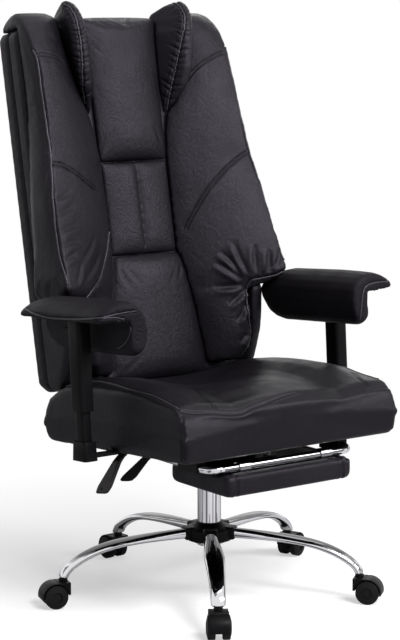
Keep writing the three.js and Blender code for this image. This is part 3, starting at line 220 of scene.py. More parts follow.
class Form:
    """A mesh that is shaped by operators, as by hand, with its place in its vertices."""

    def __init__(self, name: str, obj: bpy.types.Object) -> None:
        """Takes over an object that an operator has just added."""
        obj.name = obj.data.name = name
        self.obj = alone(obj)
        bpy.ops.object.transform_apply(location=True, rotation=True, scale=True)
        bpy.ops.object.mode_set(mode="EDIT")
        bpy.ops.mesh.select_all(action="SELECT")

    @classmethod
    def box(cls, name: str, low: Sequence[float], high: Sequence[float]) -> "Form":
        """A box between two corners."""
        low, high = Vector(low), Vector(high)
        bpy.ops.mesh.primitive_cube_add(size=1, location=(low + high) / 2, scale=high - low)
        return cls(name, bpy.context.object)

    @classmethod
    def rod(cls, name: str, start: Vector, end: Vector, radius: float, sides: int = 32) -> "Form":
        """A round rod between two points."""
        along = end - start
        turn = along.to_track_quat("Z", "Y").to_euler()
        bpy.ops.mesh.primitive_cylinder_add(
            vertices=sides, radius=radius, depth=along.length, location=(start + end) / 2, rotation=turn
        )
        return cls(name, bpy.context.object)

    @classmethod
    def plate(cls, name: str, size: Sequence[float], place: Vector, turn: Sequence[float]) -> "Form":
        """A flat rectangle, turned and put in place."""
        bpy.ops.mesh.primitive_plane_add(size=1, location=place, rotation=turn)
        bpy.context.object.scale = (*size, 1)
        return cls(name, bpy.context.object)

    def pick(self, kind: str, test: Callable[[Vector, Vector], bool]) -> "Form":
        """Selects the faces, edges or vertices that pass a test.

        Args:
            kind: FACE, EDGE or VERT.
            test: says yes to a middle and a normal, or for an edge its direction.

        Returns:
            The form itself.
        """
        bpy.ops.mesh.select_mode(type=kind)
        bpy.ops.mesh.select_all(action="DESELECT")
        mesh = bmesh.from_edit_mesh(self.obj.data)
        if kind == "FACE":
            rows = [(face, face.calc_center_median(), face.normal) for face in mesh.faces]
        elif kind == "EDGE":
            ends = [(edge, edge.verts[0].co, edge.verts[1].co) for edge in mesh.edges]
            rows = [(edge, (a + b) / 2, (b - a).normalized()) for edge, a, b in ends]
        else:
            rows = [(vert, vert.co, vert.normal) for vert in mesh.verts]
        for item, middle, toward in rows:
            if test(middle, toward):
                item.select_set(True)
        bmesh.update_edit_mesh(self.obj.data)
        return self

    def bevel(self, width: float, segments: int = 3, affect: str = "EDGES") -> "Form":
        """Rounds the picked edges or corners."""
        bpy.ops.mesh.bevel(offset=width, segments=segments, affect=affect, profile=0.5)
        return self

    def inset(self, width: float, depth: float = 0.0) -> "Form":
        """Draws the picked faces in, and sinks or lifts them."""
        bpy.ops.mesh.inset(thickness=width, depth=depth)
        return self

    def extrude(self, move: Sequence[float]) -> "Form":
        """Pulls the picked faces out along a vector."""
        bpy.ops.mesh.extrude_region_move(TRANSFORM_OT_translate={"value": tuple(move)})
        return self

    def resize(self, factors: Sequence[float], centre: Sequence[float]) -> "Form":
        """Scales what is picked about a centre."""
        bpy.ops.transform.resize(value=tuple(factors), center_override=tuple(centre))
        return self

    def turn(self, angle: float, axis: str, centre: Sequence[float]) -> "Form":
        """Turns what is picked about an axis through a centre."""
        bpy.ops.transform.rotate(value=-angle, orient_axis=axis, center_override=tuple(centre))
        return self

    def trim(self, place: Vector, toward: Vector) -> "Form":
        """Cuts away all that lies beyond a plane, and closes the cut."""
        bpy.ops.mesh.select_all(action="SELECT")
        bpy.ops.mesh.bisect(plane_co=place, plane_no=toward, use_fill=True, clear_outer=True)
        return self

    def close(self) -> "Form":
        """Fills or bridges what is still open."""
        bpy.ops.mesh.select_mode(type="EDGE")
        bpy.ops.mesh.select_all(action="DESELECT")
        bpy.ops.mesh.select_non_manifold()
        chosen = [edge for edge in bmesh.from_edit_mesh(self.obj.data).edges if edge.select]
        if chosen and len({round(edge.verts[0].co.z, 5) for edge in chosen}) == 2:
            bpy.ops.mesh.bridge_edge_loops()
        elif chosen:
            bpy.ops.mesh.edge_face_add()
        return self

    def sharp_edges(self, angle: float, width: float, segments: int = 3) -> "Form":
        """Rounds every edge that turns by more than an angle."""
        bpy.ops.mesh.select_mode(type="EDGE")
        bpy.ops.mesh.select_all(action="DESELECT")
        bpy.ops.mesh.edges_select_sharp(sharpness=angle)
        return self.bevel(width, segments)

    def done(self, smooth: float | None = 35) -> bpy.types.Object:
        """Leaves edit mode with the faces smooth up to an angle in degrees, and outward."""
        bpy.ops.mesh.select_all(action="SELECT")
        bpy.ops.mesh.normals_make_consistent(inside=False)
        bpy.ops.object.mode_set(mode="OBJECT")
        if smooth is not None:
            bpy.ops.object.shade_smooth_by_angle(angle=math.radians(smooth))
        return self.obj


def modified(obj: bpy.types.Object, kind: str, **values: object) -> bpy.types.Object:
    """Adds a modifier with the given values and applies it.

    Args:
        obj: the object to change.
        kind: the modifier's type.
        values: its settings.

    Returns:
        The same object.
    """
    alone(obj)
    modifier = obj.modifiers.new(kind.lower(), kind)
    for key, value in values.items():
        setattr(modifier, key, value)
    bpy.ops.object.modifier_apply(modifier=modifier.name)
    return obj


def joined(name: str, objects: Sequence[bpy.types.Object]) -> bpy.types.Object:
    """Joins several objects into the first one, under a name."""
    alone(objects[0])
    for other in objects[1:]:
        other.select_set(True)
    bpy.ops.object.join()
    objects[0].name = objects[0].data.name = name
    return objects[0]


def copied(obj: bpy.types.Object, name: str, move: Matrix) -> bpy.types.Object:
    """A copy with a mesh of its own, put in place by a matrix."""
    twin = added(name, obj.data.copy())
    twin.data.transform(move)
    return twin


def node_copy(node: str, name: str) -> bpy.types.Object:
    """A merged copy of a solid's mesh, as a free object."""
    twin = added(name, frame["nodes"][node].data.copy())
    twin.data.materials.clear()
    alone(twin)
    bpy.ops.object.mode_set(mode="EDIT")
    bpy.ops.mesh.select_all(action="SELECT")
    bpy.ops.mesh.remove_doubles(threshold=SAME_PLACE)
    bpy.ops.object.mode_set(mode="OBJECT")
    return twin


def tube(name: str, places: np.ndarray, radius: float, rounds: int = 3) -> bpy.types.Object:
    """A round tube along a line, closed at its ends.

    Args:
        name: the piece's name.
        places: the middle line, one row for each point.
        radius: the tube's radius.
        rounds: how finely the section is divided.

    Returns:
        The tube as a mesh object.
    """
    data = bpy.data.curves.new(name, "CURVE")
    data.dimensions = "3D"
    data.bevel_depth, data.bevel_resolution, data.use_fill_caps = radius, rounds, True
    spline = data.splines.new("POLY")
    spline.points.add(len(places) - 1)
    spline.points.foreach_set("co", np.hstack([places, np.ones((len(places), 1))]).ravel())
    alone(added(name, data))
    bpy.ops.object.convert(target="MESH")
    bpy.ops.object.shade_smooth_by_angle(angle=TUBE_SMOOTHING)
    return bpy.context.object


class Nodes:
    """A short way to add and link shader nodes in one tree."""

    def __init__(self, tree: bpy.types.NodeTree) -> None:
        """Keeps the tree."""
        self.tree = tree

    def add(self, kind: str, **values: object) -> bpy.types.Node:
        """Adds a node; a value that isn't one of its properties is one of its inputs.

        Args:
            kind: the node's type.
            values: properties, and inputs as fill takes them. Spaces in names are underscores.

        Returns:
            The new node.
        """
        node = self.tree.nodes.new(kind)
        for key in [key for key in values if hasattr(node, key)]:
            setattr(node, key, values.pop(key))
        return self.fill(node, **values)

    def fill(self, node: bpy.types.Node, **values: object) -> bpy.types.Node:
        """Sets or links a node's inputs.

        Args:
            node: the node.
            values: numbers to set or sockets to link, by input name, or by i and the input's number.

        Returns:
            The same node.
        """
        for key, value in values.items():
            socket = node.inputs[int(key[1:]) if key[1:].isdigit() else key.replace("_", " ")]
            if isinstance(value, bpy.types.NodeSocket):
                self.tree.links.new(value, socket)
            else:
                socket.default_value = value
        return node

    def math(self, operation: str, *values: object) -> bpy.types.NodeSocket:
        """A math node's result."""
        inputs = {f"i{number}": value for number, value in enumerate(values)}
        return self.add("ShaderNodeMath", operation=operation, **inputs).outputs[0]

    def tone(self, share: bpy.types.NodeSocket, low: Colour, high: Colour) -> bpy.types.NodeSocket:
        """A colour between two, by a share."""
        colours = {"i6": (*low, 1), "i7": (*high, 1)}
        return self.add("ShaderNodeMix", data_type="RGBA", Factor=share, **colours).outputs[2]

    def upward(self, normal: bpy.types.NodeSocket) -> bpy.types.NodeSocket:
        """How far a normal points upwards."""
        return self.add("ShaderNodeSeparateXYZ", i0=normal).outputs["Z"]

    def bump(self, height: bpy.types.NodeSocket, strength: float, distance: float) -> bpy.types.NodeSocket:
        """A normal that is bumped by a height."""
        return self.add("ShaderNodeBump", Strength=strength, Distance=distance, Height=height).outputs[0]

    def ranged(self, value: bpy.types.NodeSocket, *span: float) -> bpy.types.NodeSocket:
        """A value mapped from one span to another: low, high, new low, new high."""
        names = ("From_Min", "From_Max", "To_Min", "To_Max")
        return self.add("ShaderNodeMapRange", Value=value, **dict(zip(names, span))).outputs[0]

    def noise(self, place: bpy.types.NodeSocket, scale: object, detail: float = 3.0) -> bpy.types.NodeSocket:
        """A noise texture's value at a place."""
        return self.add("ShaderNodeTexNoise", Vector=place, Scale=scale, Detail=detail).outputs["Fac"]


def effect_group(
    name: str, inputs: dict[str, float], outputs: Sequence[str]
) -> tuple[Nodes, bpy.types.Node, bpy.types.Node]:
    """Starts a node group that reads a place and some values.

    Args:
        name: the group's name.
        inputs: value inputs and their defaults.
        outputs: names of the value outputs.

    Returns:
        Its nodes, its input node and its output node.
    """
    group = bpy.data.node_groups.new(name, "ShaderNodeTree")
    group.interface.new_socket("Place", in_out="INPUT", socket_type="NodeSocketVector")
    for key, value in inputs.items():
        group.interface.new_socket(key, in_out="INPUT", socket_type="NodeSocketFloat").default_value = value
    for key in outputs:
        group.interface.new_socket(key, in_out="OUTPUT", socket_type="NodeSocketFloat")
    nodes = Nodes(group)
    return nodes, nodes.add("NodeGroupInput"), nodes.add("NodeGroupOutput")


def leather_grain() -> bpy.types.NodeTree:
    """Pebbled grain with soft folds: its height, its tone and its polish."""
    inputs = {"Pebbles": 700.0, "Folds": 38.0, "Fold Height": 0.6}
    nodes, given, out = effect_group("leather_grain", inputs, ("Height", "Tone", "Polish"))
    place = given.outputs["Place"]
    pebbles, folds, fold_height = (given.outputs[key] for key in inputs)
    warp = nodes.add("ShaderNodeTexNoise", Vector=place, Scale=90.0, Detail=2.0).outputs["Color"]
    warped = nodes.add("ShaderNodeMix", data_type="VECTOR", Factor=0.004, i4=place, i5=warp).outputs[1]
    cells = nodes.add("ShaderNodeTexVoronoi", feature="DISTANCE_TO_EDGE", Vector=warped, Scale=pebbles)
    pebble = nodes.ranged(cells.outputs["Distance"], 0.0, 0.22, 0.0, 1.0)
    fold = nodes.add("ShaderNodeTexNoise", Vector=place, Scale=folds, Detail=4.0, Distortion=0.9)
    ridge = nodes.math("ABSOLUTE", nodes.math("SUBTRACT", fold.outputs["Fac"], 0.5))
    soft_fold = nodes.math("MULTIPLY", nodes.ranged(ridge, 0.0, 0.12, 0.0, 1.0), fold_height)
    patch = nodes.ranged(nodes.noise(place, 7.0, 3.0), 0.3, 0.7, 0.0, 1.0)
    nodes.fill(
        out,
        Height=nodes.math("ADD", nodes.math("MULTIPLY", pebble, 0.28), soft_fold),
        Tone=nodes.math("MULTIPLY", patch, nodes.ranged(pebble, 0.0, 1.0, 0.7, 1.0)),
        Polish=nodes.ranged(nodes.noise(place, 23.0, 4.0), 0.3, 0.7, 0.0, 1.0),
    )
    return nodes.tree


def handled_surface() -> bpy.types.NodeTree:
    """Fine pitting with smudges and dust: its height, its smudge and its dust."""
    inputs = {"Pits": 900.0, "Smudges": 16.0}
    nodes, given, out = effect_group("handled_surface", inputs, ("Height", "Smudge", "Dust"))
    place = given.outputs["Place"]
    smudge = nodes.noise(place, given.outputs["Smudges"], 5.0)
    up = nodes.upward(nodes.add("ShaderNodeNewGeometry").outputs["Normal"])
    speck = nodes.ranged(nodes.noise(place, 240.0, 4.0), 0.55, 0.75, 0.0, 1.0)
    nodes.fill(
        out,
        Height=nodes.noise(place, given.outputs["Pits"], 2.0),
        Smudge=nodes.ranged(smudge, 0.35, 0.7, 0.0, 1.0),
        Dust=nodes.math("MULTIPLY", nodes.ranged(up, 0.3, 1.0, 0.0, 1.0), speck),
    )
    return nodes.tree


GRAIN = leather_grain()
HANDLED = handled_surface()


@dataclass(frozen=True)
class Leather:
    """Grained black leather: its two tones, its gloss range and its grain."""

    name: str
    deep: Colour = (0.0033, 0.0028, 0.0039)
    pale_tone: Colour = (0.0078, 0.0068, 0.009)
    glossy: float = 0.33
    dull: float = 0.47
    fold_height: float = 0.6
    specular: float = 0.15
    tint: Colour = (1.0, 0.93, 1.1)
    relief: float = 0.0007
    strength: float = 0.6
    slot: str = "leather"

    def material(self) -> bpy.types.Material:
        """Makes the material."""
        material, nodes, shader, place = start_material(self.name)
        grain = nodes.add(
            "ShaderNodeGroup", node_tree=GRAIN, Place=place, Fold_Height=self.fold_height
        ).outputs
        nodes.fill(
            shader,
            Base_Color=nodes.tone(grain["Tone"], self.deep, self.pale_tone),
            Roughness=nodes.ranged(grain["Polish"], 0.0, 1.0, self.glossy, self.dull),
            Normal=nodes.bump(grain["Height"], self.strength, self.relief),
            Specular_IOR_Level=self.specular,
            Specular_Tint=(*self.tint, 1.0),
        )
        return material


@dataclass(frozen=True)
class Hard:
    """A painted, moulded or bare metal finish, with smudges and a little dust."""

    name: str
    colour: Colour
    slot: str
    rough: float = 0.4
    spread: float = 0.1
    metal: float = 0.0
    pits: float = 900.0
    relief: float = 0.1
    pit_depth: float = 0.0002
    coat: float = 0.0
    dust: float = 0.15
    dust_gain: float = 1.6
    dust_floor: float = 0.012
    specular: float = 0.1

    def material(self) -> bpy.types.Material:
        """Makes the material."""
        material, nodes, shader, place = start_material(self.name)
        touch = nodes.add("ShaderNodeGroup", node_tree=HANDLED, Place=place, Pits=self.pits).outputs
        dusty = tuple(min(1.0, part * self.dust_gain + self.dust_floor) for part in self.colour)
        share = nodes.math("MULTIPLY", touch["Dust"], self.dust)
        nodes.fill(
            shader,
            Base_Color=nodes.tone(share, self.colour, dusty),
            Roughness=nodes.ranged(touch["Smudge"], 0.0, 1.0, self.rough, self.rough + self.spread),
            Metallic=self.metal,
            Coat_Weight=self.coat,
            Specular_IOR_Level=self.specular,
        )
        if self.relief:
            nodes.fill(shader, Normal=nodes.bump(touch["Height"], self.relief, self.pit_depth))
        return material


@dataclass(frozen=True)
class Chrome:
    """Bright plating, with a painted reflection in its colour: dark on its upward faces, as if mirroring
    something dark overhead, and dark streaks round its sides.
    """

    name: str = "polished_chrome"
    slot: str = "chrome"
    bright: Colour = (0.74, 0.74, 0.76)
    # the colour of the painted reflection on upward faces and of the painted streaks round the sides
    dark: Colour = (0.022, 0.021, 0.024)
    glossy: float = 0.03
    dull: float = 0.09

    def material(self) -> bpy.types.Material:
        """Makes the material."""
        material, nodes, shader, place = start_material(self.name)
        touch = nodes.add("ShaderNodeGroup", node_tree=HANDLED, Place=place).outputs
        # Painted reflection: a dark band with a wobbly edge on upward faces, and dark streaks that follow the
        # normal's heading round the sides; both darken the base colour.
        painted_reflection_wobble = nodes.ranged(nodes.noise(place, 21.0, 2.0), 0.3, 0.7, -0.06, 0.06)
        normal = nodes.add("ShaderNodeNewGeometry").outputs["Normal"]
        painted_ceiling_reflection = nodes.ranged(nodes.math("ADD", nodes.upward(normal), painted_reflection_wobble), 0.8, 0.9, 0.0, 0.94)
        flat = nodes.add("ShaderNodeMapping", Vector=normal, Scale=(1.0, 1.0, 0.25)).outputs[0]
        painted_side_streaks = nodes.ranged(nodes.noise(flat, 3.4, 1.0), 0.54, 0.6, 0.0, 0.8)
        nodes.fill(
            shader,
            Base_Color=nodes.tone(nodes.math("MAXIMUM", painted_ceiling_reflection, painted_side_streaks), self.bright, self.dark),
            Roughness=nodes.ranged(touch["Smudge"], 0.0, 1.0, self.glossy, self.dull),
            Metallic=1.0,
        )
        return material


@dataclass(frozen=True)
class Plywood:
    """Plywood stained black, with long grain on its faces."""

    name: str = "plywood_sheet"
    slot: str = "plywood"
    dark: Colour = (0.008, 0.007, 0.006)
    pale: Colour = (0.022, 0.019, 0.017)
    stretch: Colour = (9.0, 60.0, 60.0)

    def material(self) -> bpy.types.Material:
        """Makes the material."""
        material, nodes, shader, place = start_material(self.name)
        stretched = nodes.add("ShaderNodeMapping", Vector=place, Scale=self.stretch).outputs[0]
        grain = nodes.noise(stretched, 3.0, 6.0)
        ramp = nodes.add("ShaderNodeValToRGB", Fac=grain)
        for element, colour in zip(ramp.color_ramp.elements, (self.dark, self.pale)):
            element.color = (*colour, 1)
        nodes.fill(
            shader, Base_Color=ramp.outputs[0], Roughness=nodes.ranged(grain, 0.0, 1.0, 0.55, 0.75)
        )
        return material


def empty_nodes(owner: bpy.types.Material | bpy.types.World) -> Nodes:
    """The emptied node tree of a material or a world."""
    owner.use_nodes = True
    owner.node_tree.nodes.clear()
    return Nodes(owner.node_tree)


def start_material(name: str) -> tuple[bpy.types.Material, Nodes, bpy.types.Node, bpy.types.NodeSocket]:
    """Starts a material with an empty surface shader.

    Args:
        name: the material's name.

    Returns:
        The material, its nodes, its surface shader and the object's own coordinates.
    """
    material = bpy.data.materials.new(name)
    nodes = empty_nodes(material)
    shader = nodes.add("ShaderNodeBsdfPrincipled")
    nodes.add("ShaderNodeOutputMaterial", Surface=shader.outputs[0])
    return material, nodes, shader, nodes.add("ShaderNodeTexCoord").outputs["Object"]


class Finish(Enum):
    """The chair's finishes."""

    LEATHER = Leather("black_leather")
    SUEDED = Leather(
        "arm_leather", deep=(0.004, 0.0034, 0.0046), pale_tone=(0.008, 0.007, 0.009),
        glossy=0.5, dull=0.62, fold_height=0.35, specular=0.09,
    )
    # The seat's leather: glossier than the back's, and its darker tones are a painted shade over the whole
    # seat cushion.
    POLISHED = Leather(
        "seat_leather", deep=(0.003, 0.0026, 0.0035), pale_tone=(0.006, 0.0053, 0.0068),
        glossy=0.3, dull=0.42, fold_height=0.4, specular=0.13, relief=0.0005,
    )
    # The piping's pale tone, far paler than the leather's, is a painted highlight along the piping lines.
    PIPING = Leather("piping_leather", pale_tone=(0.03, 0.028, 0.032), glossy=0.3, dull=0.4, specular=0.35)
    THREAD = Hard("black_thread", (0.003, 0.003, 0.0032), "leather", rough=0.7)
    CHROME = Chrome()
    NYLON = Hard(
        "moulded_nylon", (0.0045, 0.0041, 0.0048), "black_nylon", rough=0.34, relief=0.25, specular=0.07
    )
    TYRE = Hard("caster_nylon", (0.0085, 0.0082, 0.0086), "caster_tyre", rough=0.4, relief=0.2, dust=0.4)
    GRIP = Hard(
        "glossy_paddle", (0.009, 0.006, 0.0045), "gloss_grip",
        rough=0.14, spread=0.06, relief=0.0, coat=0.1, specular=0.3,
    )
    PAINT = Hard(
        "black_powder_coat", (0.006, 0.006, 0.0064), "black_steel", rough=0.38, pits=1500.0, relief=0.35
    )
    STEEL = Hard("bright_steel", (0.5, 0.5, 0.51), "steel", rough=0.25, metal=1.0)
    PLYWOOD = Plywood()

    def dress(self, obj: bpy.types.Object) -> None:
        """Gives an object this finish."""
        name = self.value.name
        material = bpy.data.materials.get(name) or self.value.material()
        obj.data.materials.clear()
        obj.data.materials.append(material)

    def dress_nodes(self, *nodes: str) -> None:
        """Gives solids of the frame this finish."""
        for node in nodes:
            self.dress(frame["nodes"][node])


def fitted(obj: bpy.types.Object, body: str, finish: Finish, *nodes: str) -> bpy.types.Object:
    """Dresses a finished piece and hangs it on its body.

    Args:
        obj: the piece, in place.
        body: the body that carries it.
        finish: what it is made of.
        nodes: the solids that it stands for.

    Returns:
        The same piece.
    """
    finish.dress(obj)
    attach(obj, body)
    if nodes:
        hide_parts(*nodes)
    LOG.info("%s rides on %s, %d faces", obj.name, body, len(obj.data.polygons))
    return obj


class Skin:
    """The surface of a mesh, on which seams are drawn."""

    probed = (3.4, 5.2, 0.02)  # how far from the camera a ray is probed: from, to and step

    def __init__(self, obj: bpy.types.Object) -> None:
        """Takes the surface as it is now."""
        mesh = obj.data
        corners = [vertex.co for vertex in mesh.vertices]
        self.tree = BVHTree.FromPolygons(corners, [face.vertices for face in mesh.polygons])

    def nearest(self, place: Vector) -> tuple[Vector, Vector]:
        """The nearest place of the surface, and its normal."""
        return self.tree.find_nearest(place)[:2]

    def at_pixel(self, across: float, down: float) -> Vector:
        """The place seen at a pixel, or the place that comes nearest to its ray."""
        start, toward = CAMERA.ray(across, down)
        found = self.tree.ray_cast(start, toward)[0]
        if found is None:
            probes = [start + toward * reach for reach in np.arange(*self.probed)]
            nearest = min(probes, key=lambda probe: self.tree.find_nearest(probe)[3])
            found = self.tree.find_nearest(nearest)[0]
        return found


class Line:
    """A smooth line on a skin, with the skin's normals along it."""

    step = 0.0025  # from one point to the next
    knots = 60  # about how many points are kept when the line is laid again
    chunk = 4000  # how many places are measured at a time

    def __init__(self, skin: Skin, places: Points) -> None:
        """Lays a smooth line through some places onto the skin."""
        rows = [skin.nearest(Vector(place)) for place in flowing(places, self.step)]
        self.places = np.array([place for place, _ in rows])
        self.normals = np.array([normal for _, normal in rows])
        steps = np.linalg.norm(np.diff(self.places, axis=0), axis=1)
        self.run = np.concatenate([[0.0], np.cumsum(steps)])

    @classmethod
    def seen(cls, skin: Skin, pixels: Points) -> "Line":
        """A line that passes through pixels of the photograph."""
        return cls(skin, [skin.at_pixel(*pixel) for pixel in pixels])

    @property
    def sideways(self) -> np.ndarray:
        """The direction across the line within the skin, at each of its points."""
        along = np.gradient(self.places, axis=0)
        across = np.cross(along, self.normals)
        return across / np.maximum(np.linalg.norm(across, axis=1, keepdims=True), 1e-9)

    def beside(self, skin: Skin, width: float) -> "Line":
        """A parallel line on a skin, or with no width the same line laid again."""
        moved = self.places + self.sideways * width if width else self.places
        return Line(skin, moved[:: max(1, len(moved) // self.knots)])

    def reach(self, places: np.ndarray, width: float) -> tuple[np.ndarray, np.ndarray, np.ndarray]:
        """The places within reach of the line.

        Args:
            places: one row for each place.
            width: how far the line reaches.

        Returns:
            Their row numbers, signed distances across the line, and distances along it.
        """
        low, high = self.places.min(0) - width, self.places.max(0) + width
        near = np.nonzero(((places > low) & (places < high)).all(1))[0]
        kept, across, along = [], [], []
        for chunk in np.array_split(near, max(1, len(near) // self.chunk + 1)):
            if not len(chunk):
                continue
            gap = places[chunk][:, None, :] - self.places[None]
            far = (gap**2).sum(2)
            index = far.argmin(1)
            distance = np.sqrt(far[np.arange(len(chunk)), index])
            side = np.sign((gap[np.arange(len(chunk)), index] * self.sideways[index]).sum(1))
            close = distance < width
            kept.append(chunk[close])
            across.append((side * distance)[close])
            along.append(self.run[index][close])
        return np.concatenate(kept), np.concatenate(across), np.concatenate(along)


Relief = Callable[[np.ndarray, np.ndarray, float], np.ndarray]


def ridge(offset: np.ndarray, width: float) -> np.ndarray:
    """A bell of height 1 about an offset of 0."""
    return np.exp(-((offset / width) ** 2))


def groove(width: float, depth: float, lips: float = 0.25) -> Relief:
    """A sewn channel, with soft lips beside it."""

    def shape(across: np.ndarray, along: np.ndarray, total: float) -> np.ndarray:
        far = np.abs(across)
        ends = eased(along, -width, width) * eased(total - along, -width, width)
        return ends * depth * (lips * ridge(far - 2 * width, width) - ridge(far, width))

    return shape


def fold(width: float, depth: float) -> Relief:
    """A crease with a raised bank on one side, fading out at both ends."""

    def shape(across: np.ndarray, along: np.ndarray, total: float) -> np.ndarray:
        ends = np.sin(np.clip(along / max(total, 1e-6), 0, 1) * math.pi) ** 0.7
        bank = 0.75 * ridge(across - 1.5 * width, 1.2 * width)
        return ends * depth * (bank - ridge(across, width))

    return shape


def gathers(pitch: float, height: float, width: float, seed: int) -> Relief:
    """Soft puffs between narrow creases across a seam, on both sides of it.

    Args:
        pitch: the mean spacing of the creases.
        height: how deep the creases are.
        width: how far the longest reaches from the seam.
        seed: the seed of their spacing and reach.

    Returns:
        The relief.
    """
    random = np.random.default_rng(seed)
    numbers = np.arange(400)
    knots = np.cumsum(random.uniform(0.55, 1.45, len(numbers))) * pitch
    sizes, reaches = random.uniform(0.3, 1.0, (2, len(numbers)))

    def shape(across: np.ndarray, along: np.ndarray, total: float) -> np.ndarray:
        far = np.abs(across)
        phase = np.interp(along + 0.25 * far, knots, numbers)
        size, reach = (np.interp(phase, numbers, values) for values in (sizes, reaches))
        puff = np.sqrt(np.abs(np.sin(math.pi * phase))) - 0.85
        fade = eased(far, -0.001, 0.003) * (1 - eased(far, 0.2 * width * reach, width * reach))
        ends = eased(along, 0, pitch) * eased(total - along, 0, pitch)
        return ends * fade * size * height * puff

    return shape


def contacts(nodes: Iterable[str]) -> BVHTree:
    """One search tree over several solids."""
    corners, faces = [], []
    for node in nodes:
        mesh = frame["nodes"][node].data
        start = len(corners)
        corners += [vertex.co.copy() for vertex in mesh.vertices]
        faces += [[start + index for index in face.vertices] for face in mesh.polygons]
    return BVHTree.FromPolygons(corners, faces)


@dataclass(frozen=True)
class Filling:
    """How a pad is built and blown up.

    Attributes:
        voxel: the grid that its skin is cut on.
        pressure: the air's pressure in the simulation.
        swell: the farthest that it swells.
        spare: the share of spare cloth.
        full: how full it is, from 0 to 1; not used.
        softening: how many times its edges are softened.
        steps: the simulation's steps, 0 for none.
        spread: how far it grows before the simulation.
    """

    voxel: float = 0.005
    pressure: float = 4.0
    swell: float = 0.008
    spare: float = 0.03
    full: float = 0.7
    softening: int = 5
    steps: int = 0
    spread: float = 0.002


@dataclass(frozen=True)
class Sewing:
    """A sewn seam: its channel's half width and depth, and rows of stitches beside it.

    Attributes:
        width: the channel's half width.
        depth: its depth.
        rows: how far each row of stitches lies from the seam.
        twin: says that each row has a channel of its own.
    """

    width: float
    depth: float
    rows: Sequence[float] = ()
    twin: bool = False


@dataclass(frozen=True)
class Piping:
    """Piping along a seam: its radius, the share of it that stands out, and the channel under it."""

    radius: float
    proud: float
    depth: float


TWIN_ROWS = (-0.004, 0.004)


